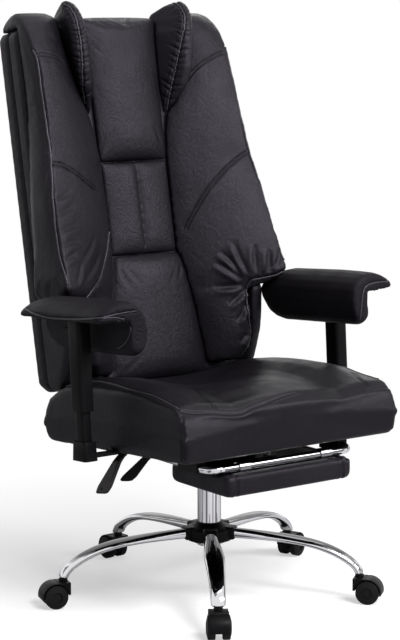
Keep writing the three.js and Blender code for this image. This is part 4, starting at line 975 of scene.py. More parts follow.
class Pad:
    """A padded piece: a solid's own shape, softened, blown up between its seams and sewn."""

    clearance = 0.001  # kept free before another solid
    share = 0.45  # the share of a gap that a pad may fill
    stiffness = 12.0
    bending = 0.8
    quality = 4

    def __init__(self, name: str, node: str, filling: Filling, touching: Iterable[str]) -> None:
        """Takes the shape of a solid.

        Args:
            name: the new piece's name.
            node: the solid that it stands for.
            filling: how it is built and blown up.
            touching: the solids that it rests against.
        """
        self.node, self.filling, self.touching = node, filling, contacts(touching)
        self.obj = node_copy(node, name)
        self.lines: dict[str, Line] = {}
        self.trim: list[bpy.types.Object] = []
        modified(self.obj, "REMESH", mode="VOXEL", voxel_size=filling.voxel)
        modified(self.obj, "SMOOTH", iterations=filling.softening, factor=0.5)
        self.skin = Skin(self.obj)

    def seam(self, key: str, pixels: Points) -> None:
        """Names a seam by the pixels that it passes through."""
        self.lines[key] = Line.seen(self.skin, pixels)

    def path(self, key: str, places: Points) -> None:
        """Names a seam by places in the row frame."""
        self.lines[key] = Line(self.skin, places)

    def room(self, places: np.ndarray) -> np.ndarray:
        """How far each place is from the solids that the pad rests against, as a limit on its swell."""
        most = self.filling.swell
        far = [self.touching.find_nearest(Vector(place), 4 * most)[3] for place in places]
        free = [None if gap is None else self.share * max(0.0, gap - self.clearance) for gap in far]
        return np.array([most if gap is None else min(most, gap) for gap in free])

    def blow(
        self, held: Iterable[str] = (), wrinkled: Callable[[np.ndarray], np.ndarray] | None = None
    ) -> None:
        """Blows the pad up by cloth simulation, divides it once more, and lays its seams again.

        Args:
            held: seams that stay where they are.
            wrinkled: the share of the spare cloth at each place.
        """
        start = coordinates(self.obj)
        limit = self.room(start)
        start = start + outward_normals(self.obj) * np.minimum(self.filling.spread, limit)[:, None]
        move_vertices(self.obj, start)
        pin = (limit < 0.1 * self.filling.swell).astype(float)
        voxel, reach = self.filling.voxel, 2.2 * self.filling.voxel
        for key in held:
            rows, across, _ = self.lines[key].reach(start, reach)
            pin[rows] = np.maximum(pin[rows], 1 - eased(np.abs(across), voxel, reach))
        if self.filling.steps:
            self.simulate(pin, wrinkled(start) if wrinkled else np.ones(len(start)))
            moved = coordinates(self.obj) - start
            length = np.linalg.norm(moved, axis=1, keepdims=True)
            most = np.maximum(limit, 1e-5)[:, None]
            held_back = most * np.tanh(length / most) / np.maximum(length, 1e-9)
            move_vertices(self.obj, start + moved * held_back)
        modified(self.obj, "SUBSURF", levels=1, render_levels=1)
        smoothed(self.obj)
        self.settle()

    def simulate(self, pin: np.ndarray, slack: np.ndarray) -> None:
        """Runs the cloth, with the pinned places held and spare cloth where there is slack."""
        for name, weights in (("pin", pin), ("slack", slack)):
            group = self.obj.vertex_groups.new(name=name)
            for index in np.nonzero(weights > 0.02)[0]:
                group.add([int(index)], float(weights[index]), "REPLACE")
        alone(self.obj)
        cloth = self.obj.modifiers.new("air", "CLOTH")
        values = cloth.settings
        values.use_pressure, values.uniform_pressure_force = True, self.filling.pressure
        values.effector_weights.gravity = 0
        values.vertex_group_mass = "pin"
        values.vertex_group_shrink = "slack"
        values.shrink_min, values.shrink_max = 0.0, -self.filling.spare
        values.quality = self.quality
        values.tension_stiffness = values.compression_stiffness = self.stiffness
        values.bending_stiffness = self.bending
        cloth.point_cache.frame_start, cloth.point_cache.frame_end = 1, self.filling.steps
        for step in range(1, self.filling.steps + 1):
            bpy.context.scene.frame_set(step)
        bpy.ops.object.modifier_apply(modifier=cloth.name)
        bpy.context.scene.frame_set(1)
        self.obj.vertex_groups.clear()

    def settle(self) -> None:
        """Lays the named seams on the surface as it is now."""
        self.skin = Skin(self.obj)
        self.lines = {key: line.beside(self.skin, 0.0) for key, line in self.lines.items()}

    def press(self, line: Line, width: float, relief: Relief) -> None:
        """Works a relief into the surface along a line."""
        places = coordinates(self.obj)
        rows, across, along = line.reach(places, width)
        places[rows] += outward_normals(self.obj)[rows] * relief(across, along, line.run[-1])[:, None]
        move_vertices(self.obj, places)

    def sew(self, key: str, sewing: Sewing) -> None:
        """Sinks a seam's channel and sews rows of stitches beside it.

        Args:
            key: the seam.
            sewing: how it is sewn.
        """
        for offset in sewing.rows if sewing.twin else (0.0,):
            channel = groove(sewing.width, sewing.depth)
            self.press(self.beside(key, offset), 4 * sewing.width, channel)
        self.settle()
        for number, offset in enumerate(sewing.rows):
            name = f"{self.obj.name}_{key}_thread_{number}"
            self.trim.append(stitches(name, self.beside(key, offset)))

    def beside(self, key: str, offset: float) -> Line:
        """The line at an offset from a seam."""
        return self.lines[key].beside(self.skin, offset)

    def pipe(self, key: str, piping: Piping) -> None:
        """Lays piping along a seam, partly sunk in the surface.

        Args:
            key: the seam.
            piping: its sizes.
        """
        radius = piping.radius
        self.press(self.lines[key], 5 * radius, groove(1.8 * radius, piping.depth, lips=0.1))
        self.settle()
        line = self.lines[key]
        name = f"{self.obj.name}_{key}_piping"
        self.trim.append(tube(name, line.places + line.normals * (radius * piping.proud), radius))

    def crease(self, pixels: Points, width: float, depth: float) -> None:
        """Presses a fold that passes through some pixels."""
        self.press(Line.seen(self.skin, pixels), 4 * width, fold(width, depth))

    def finish(self, body: str, finish: Finish) -> None:
        """Dresses the pad and its trim, and hangs them on their body."""
        fitted(self.obj, body, finish, self.node)
        for piece in self.trim:
            fitted(piece, body, Finish.THREAD if "thread" in piece.name else Finish.PIPING)


def stitches(name: str, line: Line) -> bpy.types.Object:
    """A row of sewn stitches that lie on a line, as one mesh.

    Args:
        name: the piece's name.
        line: the line on the surface.

    Returns:
        The row of stitches.
    """
    pitch, length, radius, proud = 0.0055, 0.0036, 0.00045, 0.4

    def along_line(columns: np.ndarray, run: float) -> np.ndarray:
        """The columns' values at a distance along the line."""
        return np.array([np.interp(run, line.run, columns[:, axis]) for axis in range(3)])

    mesh = bmesh.new()
    size = Matrix.Diagonal((radius, radius, length / 2, 1))
    for run in np.arange(pitch, line.run[-1] - pitch, pitch):
        start, end = along_line(line.places, run), along_line(line.places, run + length)
        place = Vector((start + end) / 2 + along_line(line.normals, run) * radius * proud)
        turn = Vector(end - start).to_track_quat("Z", "Y").to_matrix().to_4x4()
        move = Matrix.Translation(place) @ turn @ size
        bmesh.ops.create_icosphere(mesh, subdivisions=1, radius=1, matrix=move)
    data = bpy.data.meshes.new(name)
    mesh.to_mesh(data)
    mesh.free()
    for face in data.polygons:
        face.use_smooth = True
    return added(name, data)


@dataclass(frozen=True)
class WingPlan:
    """One side wing: its side, the pixels of its seams, piping and folds, and the folds' depth."""

    side: Side
    upper: Points
    lower: Points
    flare: Points
    folds: Sequence[Points]
    depth: float


LEFT_WING = WingPlan(
    side=Side.LEFT,
    upper=((223, 52), (212, 57), (200, 64.5), (192, 72), (186, 80)),
    lower=((247, 152), (236, 160), (225, 170), (207.5, 190), (194, 212), (185, 229)),
    flare=(
        (286, 271), (275, 275), (262, 278), (252, 280), (247.5, 285), (245.7, 292),
        (247, 305), (250, 320), (253.7, 335), (256, 352),
    ),
    folds=(
        ((219, 251), (231, 261), (241, 275)),
        ((214, 262), (228, 270), (243, 280)),
        ((233, 241), (240, 258), (248, 274)),
        ((255, 244), (255, 258), (256, 273)),
        ((269, 249), (269, 262), (268, 273)),
        ((228, 305), (237, 298), (245, 288)),
        ((236, 322), (243, 313), (247, 300)),
        ((214, 288), (229, 287), (243, 285)),
        ((279, 248), (279, 258), (276, 268)),
        ((240, 343), (246, 336), (251, 326)),
    ),
    depth=0.0042,
)
RIGHT_WING = WingPlan(
    side=Side.RIGHT,
    upper=((37, 54), (50, 55.5), (60, 60), (66, 68)),
    lower=((51, 164), (62.5, 166), (77.5, 175), (87, 183), (95, 190)),
    flare=((110, 232), (107, 247), (104, 262), (99, 279), (92, 290), (86, 297)),
    folds=(
        ((57, 200), (64, 196), (72, 190)),
        ((58, 216), (66, 211), (76, 206)),
        ((60, 233), (68, 228), (79, 224)),
        ((62, 247), (70, 243), (80, 241)),
        ((64, 262), (70, 257), (77, 254)),
        ((82, 262), (90, 250), (96, 236)),
        ((86, 280), (94, 268), (101, 252)),
        ((77, 284), (80, 274), (82, 262)),
    ),
    depth=0.0022,
)
EDGE_PIPING = (
    (33, 50), (37.5, 61), (41, 85), (46, 120), (50, 150),
    (52.5, 187), (55, 220), (59, 250), (65.5, 277), (68, 287),
)


@dataclass(frozen=True)
class EarPlan:
    """One headrest ear: its side, and the pixels of its piping."""

    side: Side
    piping: Points


EARS = (
    EarPlan(
        Side.RIGHT,
        ((64, 4.5), (70, 8), (75, 16), (78, 27), (80.5, 42), (82, 60), (82.5, 78), (85, 104)),
    ),
    EarPlan(
        Side.LEFT,
        ((172, 3.5), (180, 7), (184.4, 16), (184, 28), (180, 46), (175, 70), (170, 92), (166.6, 110)),
    ),
)


@dataclass(frozen=True)
class Back:
    """The backrest: shell, core, three front panels, two wings and two ears."""

    body: str = "back"
    around: tuple[str, ...] = (
        "back_body", "back_cover", "wing_left", "wing_right", "ear_left", "ear_right", "head_panel",
        "middle_panel", "lumbar_cushion", "seat_cushion", "back_board", "arm_pad_left", "arm_pad_right",
    )
    divider: tuple[float, float] = (0.297, 0.49)
    half_border: float = 0.214
    border_low: float = 0.075
    border_high: float = 0.745
    border_corner: float = 0.05
    yoke_height: float = 0.43
    rear: float = -0.03

    def pad(self, name: str, node: str, **filling: float) -> Pad:
        """A pad of the back that swells up to the solids around it.

        Args:
            name: the pad's name.
            node: the solid that it stands for.
            filling: how it is built and blown up.

        Returns:
            The pad.
        """
        return Pad(name, node, Filling(**filling), [other for other in self.around if other != node])

    def build(self) -> None:
        """Builds every padded piece of the back."""
        edge = self.wing(RIGHT_WING, None)
        self.wing(LEFT_WING, edge)
        for plan in EARS:
            self.ear(plan)
        sprung = {"spare": 0.012, "steps": 14}
        self.panel(self.pad("head_panel_pad", "head_panel", voxel=0.0045, swell=0.006, **sprung))
        middle = self.pad("middle_panel_pad", "middle_panel", voxel=0.0042, swell=0.007, **sprung)
        middle.path("divider", [BACK.at(0, up, 0.1) for up in np.linspace(*self.divider, 7)])
        self.panel(middle)
        self.panel(self.pad(
            "lumbar_pad", "lumbar_cushion", swell=0.006, full=0.8, softening=3, spread=0.004, **sprung
        ))
        firm = {"voxel": 0.006, "full": 0.85, "softening": 1, "spread": 0.003}
        self.panel(self.pad("back_core_pad", "back_body", **firm))
        self.shell(self.pad("back_shell_pad", "back_cover", **firm))
        Finish.PLYWOOD.dress_nodes("back_board")
        Finish.PAINT.dress_nodes("back_bar")

    def panel(self, pad: Pad) -> None:
        """Blows up a plain panel between its seams, and hangs it on the back."""
        pad.blow(held=tuple(pad.lines))
        pad.finish(self.body, Finish.LEATHER)

    def wing(self, plan: WingPlan, edge: np.ndarray | None) -> np.ndarray:
        """Builds one wing.

        Args:
            plan: its side and seams.
            edge: places of the outer edge's piping, where the photograph doesn't show it.

        Returns:
            The places of its own outer edge's piping.
        """
        node = f"wing_{plan.side.word}"
        pad = self.pad(f"{node}_pad", node, swell=0.007, spare=0.035, pressure=3.5, steps=16)
        for key, pixels in (("upper", plan.upper), ("lower", plan.lower), ("flare", plan.flare)):
            pad.seam(key, pixels)
        if edge is None:
            pad.seam("edge", EDGE_PIPING)
        else:
            pad.path("edge", mirrored(edge))
        low = frame_height("wing_left", 0.42)
        pad.blow(
            held=("upper", "lower", "flare", "edge"),
            wrinkled=lambda places: 1 - 0.75 * eased(places[:, 2], low, low + 0.25),
        )
        edge_places = pad.lines["edge"].places
        for pixels in plan.folds:
            pad.crease(pixels, 0.0065, plan.depth)
        pad.press(pad.lines["flare"], 0.045, gathers(pitch=0.021, height=0.0028, width=0.045, seed=11))
        pad.settle()
        pad.sew("upper", Sewing(0.0016, 0.0022, TWIN_ROWS, twin=True))
        pad.sew("lower", Sewing(0.0016, 0.0026, TWIN_ROWS, twin=True))
        pad.pipe("flare", Piping(0.0023, 0.5, 0.0025))
        pad.pipe("edge", Piping(0.0023, 0.5, 0.002))
        pad.finish(self.body, Finish.LEATHER)
        return edge_places

    def ear(self, plan: EarPlan) -> None:
        """Builds one headrest ear, gathered along its piping."""
        node = f"ear_{plan.side.word}"
        pad = self.pad(f"{node}_pad", node, voxel=0.003, softening=1)
        pad.seam("piping", plan.piping)
        pad.blow(held=("piping",))
        pleats = gathers(pitch=0.0135, height=0.0042, width=0.042, seed=3 + plan.side.value)
        pad.press(pad.lines["piping"], 0.042, pleats)
        pad.settle()
        pad.pipe("piping", Piping(0.0021, 0.55, 0.003))
        pad.finish(self.body, Finish.LEATHER)

    def shell(self, pad: Pad) -> None:
        """Builds the rear shell, with a piped border and a stitched yoke."""
        half, corner = self.half_border, self.border_corner
        shoulder = self.border_high - corner
        border = [
            (-half, self.border_low), (-half, shoulder), (corner - half, self.border_high),
            (half - corner, self.border_high), (half, shoulder), (half, self.border_low),
        ]
        yoke = [(across, self.yoke_height) for across in np.linspace(-half, half, 7)]
        for key, places in (("border", border), ("yoke", yoke)):
            pad.path(key, [BACK.at(across, up, self.rear) for across, up in places])
        pad.blow(held=("border", "yoke"))
        pad.sew("yoke", Sewing(0.003, 0.003, (-0.005, 0.005)))
        pad.pipe("border", Piping(0.0023, 0.5, 0.003))
        pad.finish(self.body, Finish.LEATHER)


def mirrored(places: np.ndarray) -> np.ndarray:
    """Every eighth place, mirrored to the chair's other side."""
    return places[::8] * (-1, 1, 1)


def frame_height(node: str, share: float) -> float:
    """A height in the row frame, as a share of a solid's own."""
    low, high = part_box(node)
    return low.z + (high.z - low.z) * share


SEAT_SEAMS = {
    "roll": (
        (180.6, 413), (196, 414.6), (213, 414.2), (228, 415), (240, 414),
        (252, 409.5), (266.7, 404), (280, 398.5), (298, 393.5),
    ),
    "corner": ((181.5, 416), (183.5, 430), (184, 446), (184.5, 462)),
    "edge_right": ((62, 378), (91.7, 382.8), (130.5, 391), (158, 399.4), (172, 407), (180, 413)),
    "cross_right": ((192, 388.5), (203, 399.5), (214, 411)),
    "cross_left": ((352.8, 374.4), (360, 380.5), (367, 388)),
    "front_left": ((367, 391.5), (380, 388.5), (393, 384.5)),
}


@dataclass(frozen=True)
class Seat:
    """The seat cushion, with its bolster seams and sewn corners."""

    body: str = "seat"
    around: tuple[str, ...] = (
        "seat_board", "seat_plate", "lumbar_cushion", "back_body", "wing_left", "wing_right", "back_cover",
        "arm_bracket_left", "arm_bracket_right", "arm_foot_left", "arm_foot_right", "arm_post_left",
        "arm_post_right",
    )
    filling: Filling = Filling(voxel=0.0055, full=0.8, softening=2, spread=0.004)
    piping: Piping = Piping(0.0022, 0.35, 0.0018)
    crossing: Sewing = Sewing(0.0016, 0.0016, TWIN_ROWS, twin=True)

    def build(self) -> None:
        """Builds the cushion and dresses its board."""
        pad = Pad("seat_pad", "seat_cushion", self.filling, self.around)
        for key, pixels in SEAT_SEAMS.items():
            pad.seam(key, pixels)
        pad.blow(held=("roll", "corner", "edge_right"))
        pad.sew("roll", Sewing(0.0038, 0.0034))
        pad.sew("corner", Sewing(0.003, 0.002, (0.004,)))
        pad.sew("cross_right", self.crossing)
        pad.sew("cross_left", self.crossing)
        pad.sew("front_left", Sewing(0.0026, 0.0012, (0.0,)))
        pad.pipe("edge_right", self.piping)
        pad.path("edge_left", mirrored(pad.lines["edge_right"].places))
        pad.pipe("edge_left", self.piping)
        pad.finish(self.body, Finish.POLISHED)
        Finish.PLYWOOD.dress_nodes("seat_board")


@dataclass(frozen=True)
class FootrestPad:
    """The footrest's pad, under the seat at rest."""

    body: str = "footrest_pad"
    filling: Filling = Filling(voxel=0.0042, softening=1, spread=0.003)
    panel: float = 0.022
    corner: float = 0.012
    folds: tuple[Points, ...] = (
        ((322, 458), (326, 452), (330, 449)),
        ((329, 460), (334, 453), (338, 449)),
        ((337, 462), (341, 455), (344, 450)),
        ((345, 462), (347, 456), (349, 451)),
    )

    def build(self) -> None:
        """Builds the pad and its sewn side panels."""
        pad = Pad("footrest_cushion", "footrest_pad", self.filling, ("footrest_hinge", "footrest_frame"))
        low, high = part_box("footrest_pad")
        front, back = low.y + self.corner, high.y - self.corner
        ends = {"end_2": 1, "end_0": -1}
        for key, side in ends.items():
            across = side * (high.x - self.panel)
            section = (
                (front, high.z), (low.y, (low.z + high.z) / 2), (front, low.z),
                ((low.y + high.y) / 2, low.z), (back, low.z),
            )
            pad.path(key, [(across, *place) for place in section])
        pad.blow(held=("end_0", "end_2"))
        for pixels in self.folds:
            pad.crease(pixels, 0.004, 0.0022)
        for key in ("end_0", "end_2"):
            pad.sew(key, Sewing(0.003, 0.0024, (0.004,)))
        pad.finish(self.body, Finish.LEATHER)


@dataclass(frozen=True)
class ArmPlan:
    """One arm pad: its side, the pixels of its sewn edges and of its ruched strip, and the strip's width."""

    side: Side
    seams: dict[str, Points]
    ruched: Points
    strip: float


ARMS = (
    ArmPlan(
        Side.RIGHT,
        {
            "lip": (
                (24, 309), (35, 314), (52, 317.5), (76, 319),
                (98, 318.5), (113, 315), (126, 312.5), (137, 311),
            ),
            "strip_in": (
                (98, 319), (110, 317.5), (120, 318.5), (128, 321.5),
                (131, 328), (130, 336), (125, 344), (118, 349),
            ),
        },
        ((113, 313.5), (127, 314), (136.5, 316.5), (139.5, 324), (138, 335), (130, 346)),
        0.015,
    ),
    ArmPlan(
        Side.LEFT,
        {
            "edge": (
                (389, 281), (380, 282), (371, 283.5), (365, 287),
                (362.5, 293), (361.5, 301), (360.5, 311), (359, 320),
            ),
        },
        ((386, 284), (376, 285.5), (368.5, 288.5), (365.5, 295), (365, 303), (364, 313)),
        0.007,
    ),
)


@dataclass(frozen=True)
class ArmPad:
    """One arm pad: a crowned top, a ruched front strip and a flap that curls under."""

    plan: ArmPlan
    filling: Filling = Filling(voxel=0.0032, swell=0.004, softening=1)
    piping: Piping = Piping(0.0018, 0.45, 0.0016)

    def build(self) -> None:
        """Builds the pad."""
        side, strip = self.plan.side.word, self.plan.strip
        node = f"arm_pad_{side}"
        around = (f"arm_top_plate_{side}", f"arm_sleeve_{side}", f"wing_{side}", f"height_trigger_{side}")
        pad = Pad(f"{node}_cushion", node, self.filling, around)
        for key, pixels in self.plan.seams.items():
            pad.seam(key, pixels)
        pad.blow(held=tuple(self.plan.seams))
        ruched = Line.seen(pad.skin, self.plan.ruched)
        pad.press(ruched, strip, gathers(pitch=0.0085, height=0.0034, width=strip, seed=5))
        pad.settle()
        for key in self.plan.seams:
            pad.pipe(key, self.piping)
        pad.finish(f"arm_{side}", Finish.SUEDED)


@dataclass(frozen=True)
class Station:
    """One section of an arm: out, up, width, depth and downward pitch in radians."""

    out: float
    up: float
    width: float
    depth: float
    pitch: float


def swept(name: str, stations: Sequence[Station], corner: float, divisions: int = 2) -> bpy.types.Object:
    """A bar that heads along +X, pulled out section by section and rounded.

    Args:
        name: the piece's name.
        stations: its sections.
        corner: the share of the depth that its corners are rounded by.
        divisions: how many times it is subdivided.

    Returns:
        The bar.
    """
    first = stations[0]
    start = Vector((first.out, 0, first.up))
    form = Form.plate(name, (first.depth, first.width), start, (0, math.pi / 2, 0))
    bpy.ops.mesh.select_all(action="SELECT")
    form.bevel(first.depth * corner, 2, "VERTICES")
    bpy.ops.mesh.select_all(action="SELECT")
    bpy.ops.mesh.select_mode(type="FACE")
    for last, now in zip(stations, stations[1:]):
        place = Vector((now.out, 0, now.up))
        form.extrude(place - Vector((last.out, 0, last.up)))
        form.turn(-last.pitch, "Y", place)
        form.resize((1, now.width / last.width, now.depth / last.depth), place)
        form.turn(now.pitch, "Y", place)
    form.close()
    form.done(40)
    return modified(form.obj, "SUBSURF", levels=divisions, render_levels=divisions)


ARM_SHARES = (
    # the share of the reach, of the rise, the width, the depth and the share of a quarter turn
    (0.06, 1.0, 0.024, 0.022, 0.0),
    (0.1, 1.0, 0.0245, 0.0218, 0.0),
    (0.16, 1.0, 0.026, 0.0212, 0.01),
    (0.23, 0.994, 0.0285, 0.02, 0.02),
    (0.3, 0.985, 0.0307, 0.0188, 0.03),
    (0.38, 0.972, 0.035, 0.0172, 0.045),
    (0.46, 0.955, 0.0392, 0.0156, 0.06),
    (0.53, 0.931, 0.042, 0.0146, 0.09),
    (0.6, 0.9, 0.043, 0.014, 0.12),
    (0.67, 0.852, 0.0412, 0.0145, 0.17),
    (0.73, 0.79, 0.0388, 0.015, 0.24),
    (0.79, 0.713, 0.0366, 0.0154, 0.32),
    (0.84, 0.62, 0.0348, 0.0158, 0.4),
    (0.885, 0.523, 0.033, 0.0162, 0.48),
    (0.925, 0.41, 0.0316, 0.0165, 0.57),
    (0.958, 0.305, 0.0308, 0.0168, 0.7),
    (0.98, 0.2, 0.0302, 0.017, 0.82),
    (0.994, 0.09, 0.03, 0.017, 0.94),
    (1.0, 0.0, 0.03, 0.017, 1.0),
)
BOOT_OUTLINE = (
    (0.0345, 0.1148), (0.0488, 0.1145), (0.0503, 0.116), (0.0508, 0.122), (0.0506, 0.133),
    (0.0492, 0.1385), (0.045, 0.1417), (0.037, 0.1442), (0.0312, 0.1475), (0.0285, 0.1515),
    (0.0272, 0.1528), (0.0258, 0.1528), (0.0256, 0.1505),
)
COLUMN_OUTLINE = (
    (0.0235, 0.1022), (0.0249, 0.1022), (0.025, 0.104), (0.025, 0.2665),
    (0.0248, 0.2688), (0.024, 0.2702), (0.0232, 0.2702), (0.0229, 0.2685),
)


@dataclass(frozen=True)
class StarBase:
    """The five-armed chrome base, its boot and the column tube."""

    body: str = "base"
    tip: float = 0.325
    tip_height: float = 0.05999
    rise: float = 0.07
    bearing: float = math.radians(236.8)
    count: int = 5
    corner: float = 0.34
    hub_low: float = 0.107
    hub_high: float = 0.141
    hub_radius: float = 0.034

    def stations(self) -> list[Station]:
        """The sections of one arm, from the hub to the caster."""
        return [
            Station(self.tip * out, self.tip_height + self.rise * up, wide, deep, math.pi / 2 * pitch)
            for out, up, wide, deep, pitch in ARM_SHARES
        ]

    def build(self) -> None:
        """Builds the arms, the hub, the boot and the column."""
        arm = swept("base_arm", self.stations(), self.corner)
        socket = self.socket()
        for number in range(self.count):
            turn = Matrix.Rotation(self.bearing + TURN * number / self.count, 4, "Z")
            move = Matrix.Translation(COLUMN) @ turn
            fitted(copied(arm, f"base_arm_{number + 1}", move), self.body, Finish.CHROME)
            fitted(copied(socket, f"boot_socket_{number + 1}", move), self.body, Finish.NYLON)
        for model in (arm, socket):
            bpy.data.objects.remove(model)
        low, high = (COLUMN + Vector((0, 0, height)) for height in (self.hub_low, self.hub_high))
        hub = Form.rod("base_hub", low, high, self.hub_radius, 48).sharp_edges(STEEP_EDGE, 0.002)
        fitted(hub.done(), self.body, Finish.CHROME, "star_base")
        fitted(spun("hub_boot_shell", COLUMN, BOOT_OUTLINE), self.body, Finish.NYLON, "hub_boot")
        fitted(spun("column_sleeve", COLUMN, COLUMN_OUTLINE, 64), self.body, Finish.CHROME, "column_tube")
        Finish.NYLON.dress_nodes("column_guide_bush")

    def socket(self) -> bpy.types.Object:
        """The collar of the boot round the root of an arm that heads along +X."""
        form = Form.box("boot_socket", (0.026, -0.0165, 0.1165), (0.0585, 0.0165, 0.1445))
        form.pick("FACE", lambda middle, toward: toward.x > 0.9).resize((1, 0.96, 0.94), (0.0585, 0, 0.13))
        return form.sharp_edges(math.radians(30), 0.0045, 4).done()


def spun(name: str, centre: Vector, outline: Points, sides: int = 56) -> bpy.types.Object:
    """A body of revolution about a vertical axis.

    Args:
        name: the piece's name.
        centre: a point of the axis.
        outline: radius and height of each point of its section; the section is closed.
        sides: how many sides it has.

    Returns:
        The spun body.
    """
    radius, height = outline[0]
    bpy.ops.mesh.primitive_plane_add(size=0.001, location=(centre.x + radius, centre.y, height))
    form = Form(name, bpy.context.object)
    bpy.ops.mesh.delete(type="ONLY_FACE")
    form.pick("VERT", lambda place, toward: True)
    bpy.ops.mesh.merge(type="CENTER")
    for (start, low), (end, high) in zip(outline, outline[1:]):
        bpy.ops.mesh.extrude_vertices_move(TRANSFORM_OT_translate={"value": (end - start, 0, high - low)})
    bpy.ops.mesh.select_all(action="SELECT")
    bpy.ops.mesh.spin(steps=sides, angle=TURN, center=(centre.x, centre.y, 0), axis=(0, 0, 1))
    bpy.ops.mesh.select_all(action="SELECT")
    bpy.ops.mesh.remove_doubles(threshold=1e-6)
    return form.close().done(35)


@dataclass(frozen=True)
class Caster:
    """A hooded twin-wheel caster, modelled once and copied under each arm."""

    axle: float = 0.02469
    trail: float = 0.02
    hood_radius: float = 0.029
    room_radius: float = 0.0264
    web_radius: float = 0.0266
    neck_radius: float = 0.0092
    half_hood: float = 0.02
    half_web: float = 0.0054
    half_axle: float = 0.019
    axle_radius: float = 0.0039
    wheel_inner: float = 0.0072
    wheel_outer: float = 0.0222
    ground_gap: float = 0.0001
    tread_round: float = 0.0022
    face_steps: Points = (
        (0.0012, 0.0), (0.0007, -0.0006), (0.0008, 0.0007), (0.0125, 0.0), (0.0006, -0.0004),
    )

    def build(self) -> None:
        """Builds the five casters."""
        pieces = (
            ("hood", "caster_", self.hood(), Finish.NYLON),
            ("wheels", "caster_wheels_", self.wheels(), Finish.TYRE),
        )
        casters = [joint for joint in frame["joints"] if joint["name"].startswith("caster_")]
        joints = {joint["name"]: Vector(joint["pos_m"]) for joint in casters}
        for name, stem in joints.items():
            if not name.startswith("caster_swivel"):
                continue
            number = name[-1]
            back = (joints[f"caster_roll_{number}"] - stem).to_2d().normalized()
            turn = Matrix.Rotation(math.atan2(back.y, back.x) - math.pi / 2, 4, "Z")
            move = Matrix.Translation((stem.x, stem.y, 0)) @ turn
            for key, body, piece, finish in pieces:
                twin = copied(piece, f"caster_{key}_shell_{number}", move)
                fitted(twin, f"{body}{number}", finish, f"caster_{key}_{number}")
        for _, _, piece, _ in pieces:
            bpy.data.objects.remove(piece)

    def across(self, name: str, half: float, radius: float, sides: int) -> Form:
        """A rod about the axle; the stem is over the origin."""
        axle, reach = Vector((0, self.trail, self.axle)), Vector((half, 0, 0))
        return Form.rod(name, axle - reach, axle + reach, radius, sides)

    def hood(self) -> bpy.types.Object:
        """The hood over both wheels, with its web and neck."""
        shell = self.across("hood", self.half_hood, self.hood_radius, 72).done(None)
        block = Form.box("hood_block", (-0.02, -0.0112, 0.024), (0.02, 0.014, 0.0536)).done(None)
        room = self.across("hood_room", 2 * self.half_hood, self.room_radius, 72).done(None)
        modified(shell, "BOOLEAN", object=block, operation="UNION", solver="EXACT")
        modified(shell, "BOOLEAN", object=room, operation="DIFFERENCE", solver="EXACT")
        trimmed = Form("hood", alone(shell))
        trimmed.trim(Vector((0, -0.009, 0.0275)), Vector((0, -0.15, -0.989)))
        trimmed.sharp_edges(math.radians(45), 0.0009, 3).done(30)
        web = self.across("hood_web", self.half_web, self.web_radius, 48)
        web.trim(Vector((0, 0.006, 0.0185)), Vector((0, 0.1, -1))).done(30)
        neck = Form.rod("hood_neck", Vector((0, 0, 0.05)), Vector((0, 0, 0.0597)), self.neck_radius, 40)
        neck.sharp_edges(STEEP_EDGE, 0.0007, 2).done(30)
        for spare in (block, room):
            bpy.data.objects.remove(spare)
        return joined("hood", [shell, web.obj, neck.obj])

    def wheels(self) -> bpy.types.Object:
        """The pair of wheels with raised faces, and their axle."""
        axle, radius = Vector((0, self.trail, self.axle)), self.axle - self.ground_gap
        pieces = [self.across("axle", self.half_axle, self.axle_radius, 24).done(30)]
        for side in (1, -1):
            inner, outer = (axle + Vector((side * out, 0, 0)) for out in (self.wheel_inner, self.wheel_outer))
            form = Form.rod(f"wheel_{side}", inner, outer, radius, 56)
            form.pick("EDGE", self.is_rim).bevel(self.tread_round, 3)
            form.pick("FACE", lambda middle, toward, side=side: side * toward.x > 0.9)
            for width, depth in self.face_steps:
                form.inset(width, depth)
            pieces.append(form.done(30))
        return joined("wheels", pieces)

    def is_rim(self, middle: Vector, toward: Vector) -> bool:
        """Says whether an edge of a wheel lies on the rim of one of its faces."""
        half_way = (self.wheel_inner + self.wheel_outer) / 2
        return abs(toward.x) < 0.1 and abs(abs(middle.x) - half_way) > 0.006


@dataclass(frozen=True)
class LeverPlan:
    """One lever: its name and the finish of its grip."""

    name: str
    finish: Finish


LEVERS = (LeverPlan("lift_lever", Finish.GRIP), LeverPlan("recline_lever", Finish.NYLON))


@dataclass(frozen=True)
class Lever:
    """A lever: its steel rod and its moulded paddle."""

    plan: LeverPlan
    voxel: float = 0.0016
    growth: float = 0.0006
    hollow: float = 0.0016
    hollow_inner: float = 0.004
    hollow_outer: float = 0.0115
    tip_share: float = 0.3

    def build(self) -> None:
        """Builds the paddle and dresses the rod."""
        name = self.plan.name
        grip = node_copy(f"{name}_grip", f"{name}_paddle")
        modified(grip, "REMESH", mode="VOXEL", voxel_size=self.voxel)
        modified(grip, "SMOOTH", iterations=4, factor=0.5)
        move_vertices(grip, coordinates(grip) + outward_normals(grip) * self.growth)
        self.thumb(grip)
        modified(grip, "SUBSURF", levels=1, render_levels=1)
        smoothed(grip)
        fitted(grip, name, self.plan.finish, f"{name}_grip")
        Finish.PAINT.dress_nodes(f"{name}_rod")

    def thumb(self, grip: bpy.types.Object) -> None:
        """Presses a shallow thumb hollow with a rim into the paddle's outer face."""
        places = coordinates(grip)
        low, high = places.min(0), places.max(0)
        tip = places[places[:, 2] < low[2] + self.tip_share * (high[2] - low[2])].mean(0)
        far = np.linalg.norm((places - tip) * (1, 1, 0.75), axis=1)
        normals = outward_normals(grip)
        facing = np.clip(-normals[:, 0] * 0.7 - normals[:, 1] * 0.7, 0, 1)
        depth = self.hollow * (1 - eased(far, self.hollow_inner, self.hollow_outer)) * facing
        move_vertices(grip, places - normals * depth[:, None])


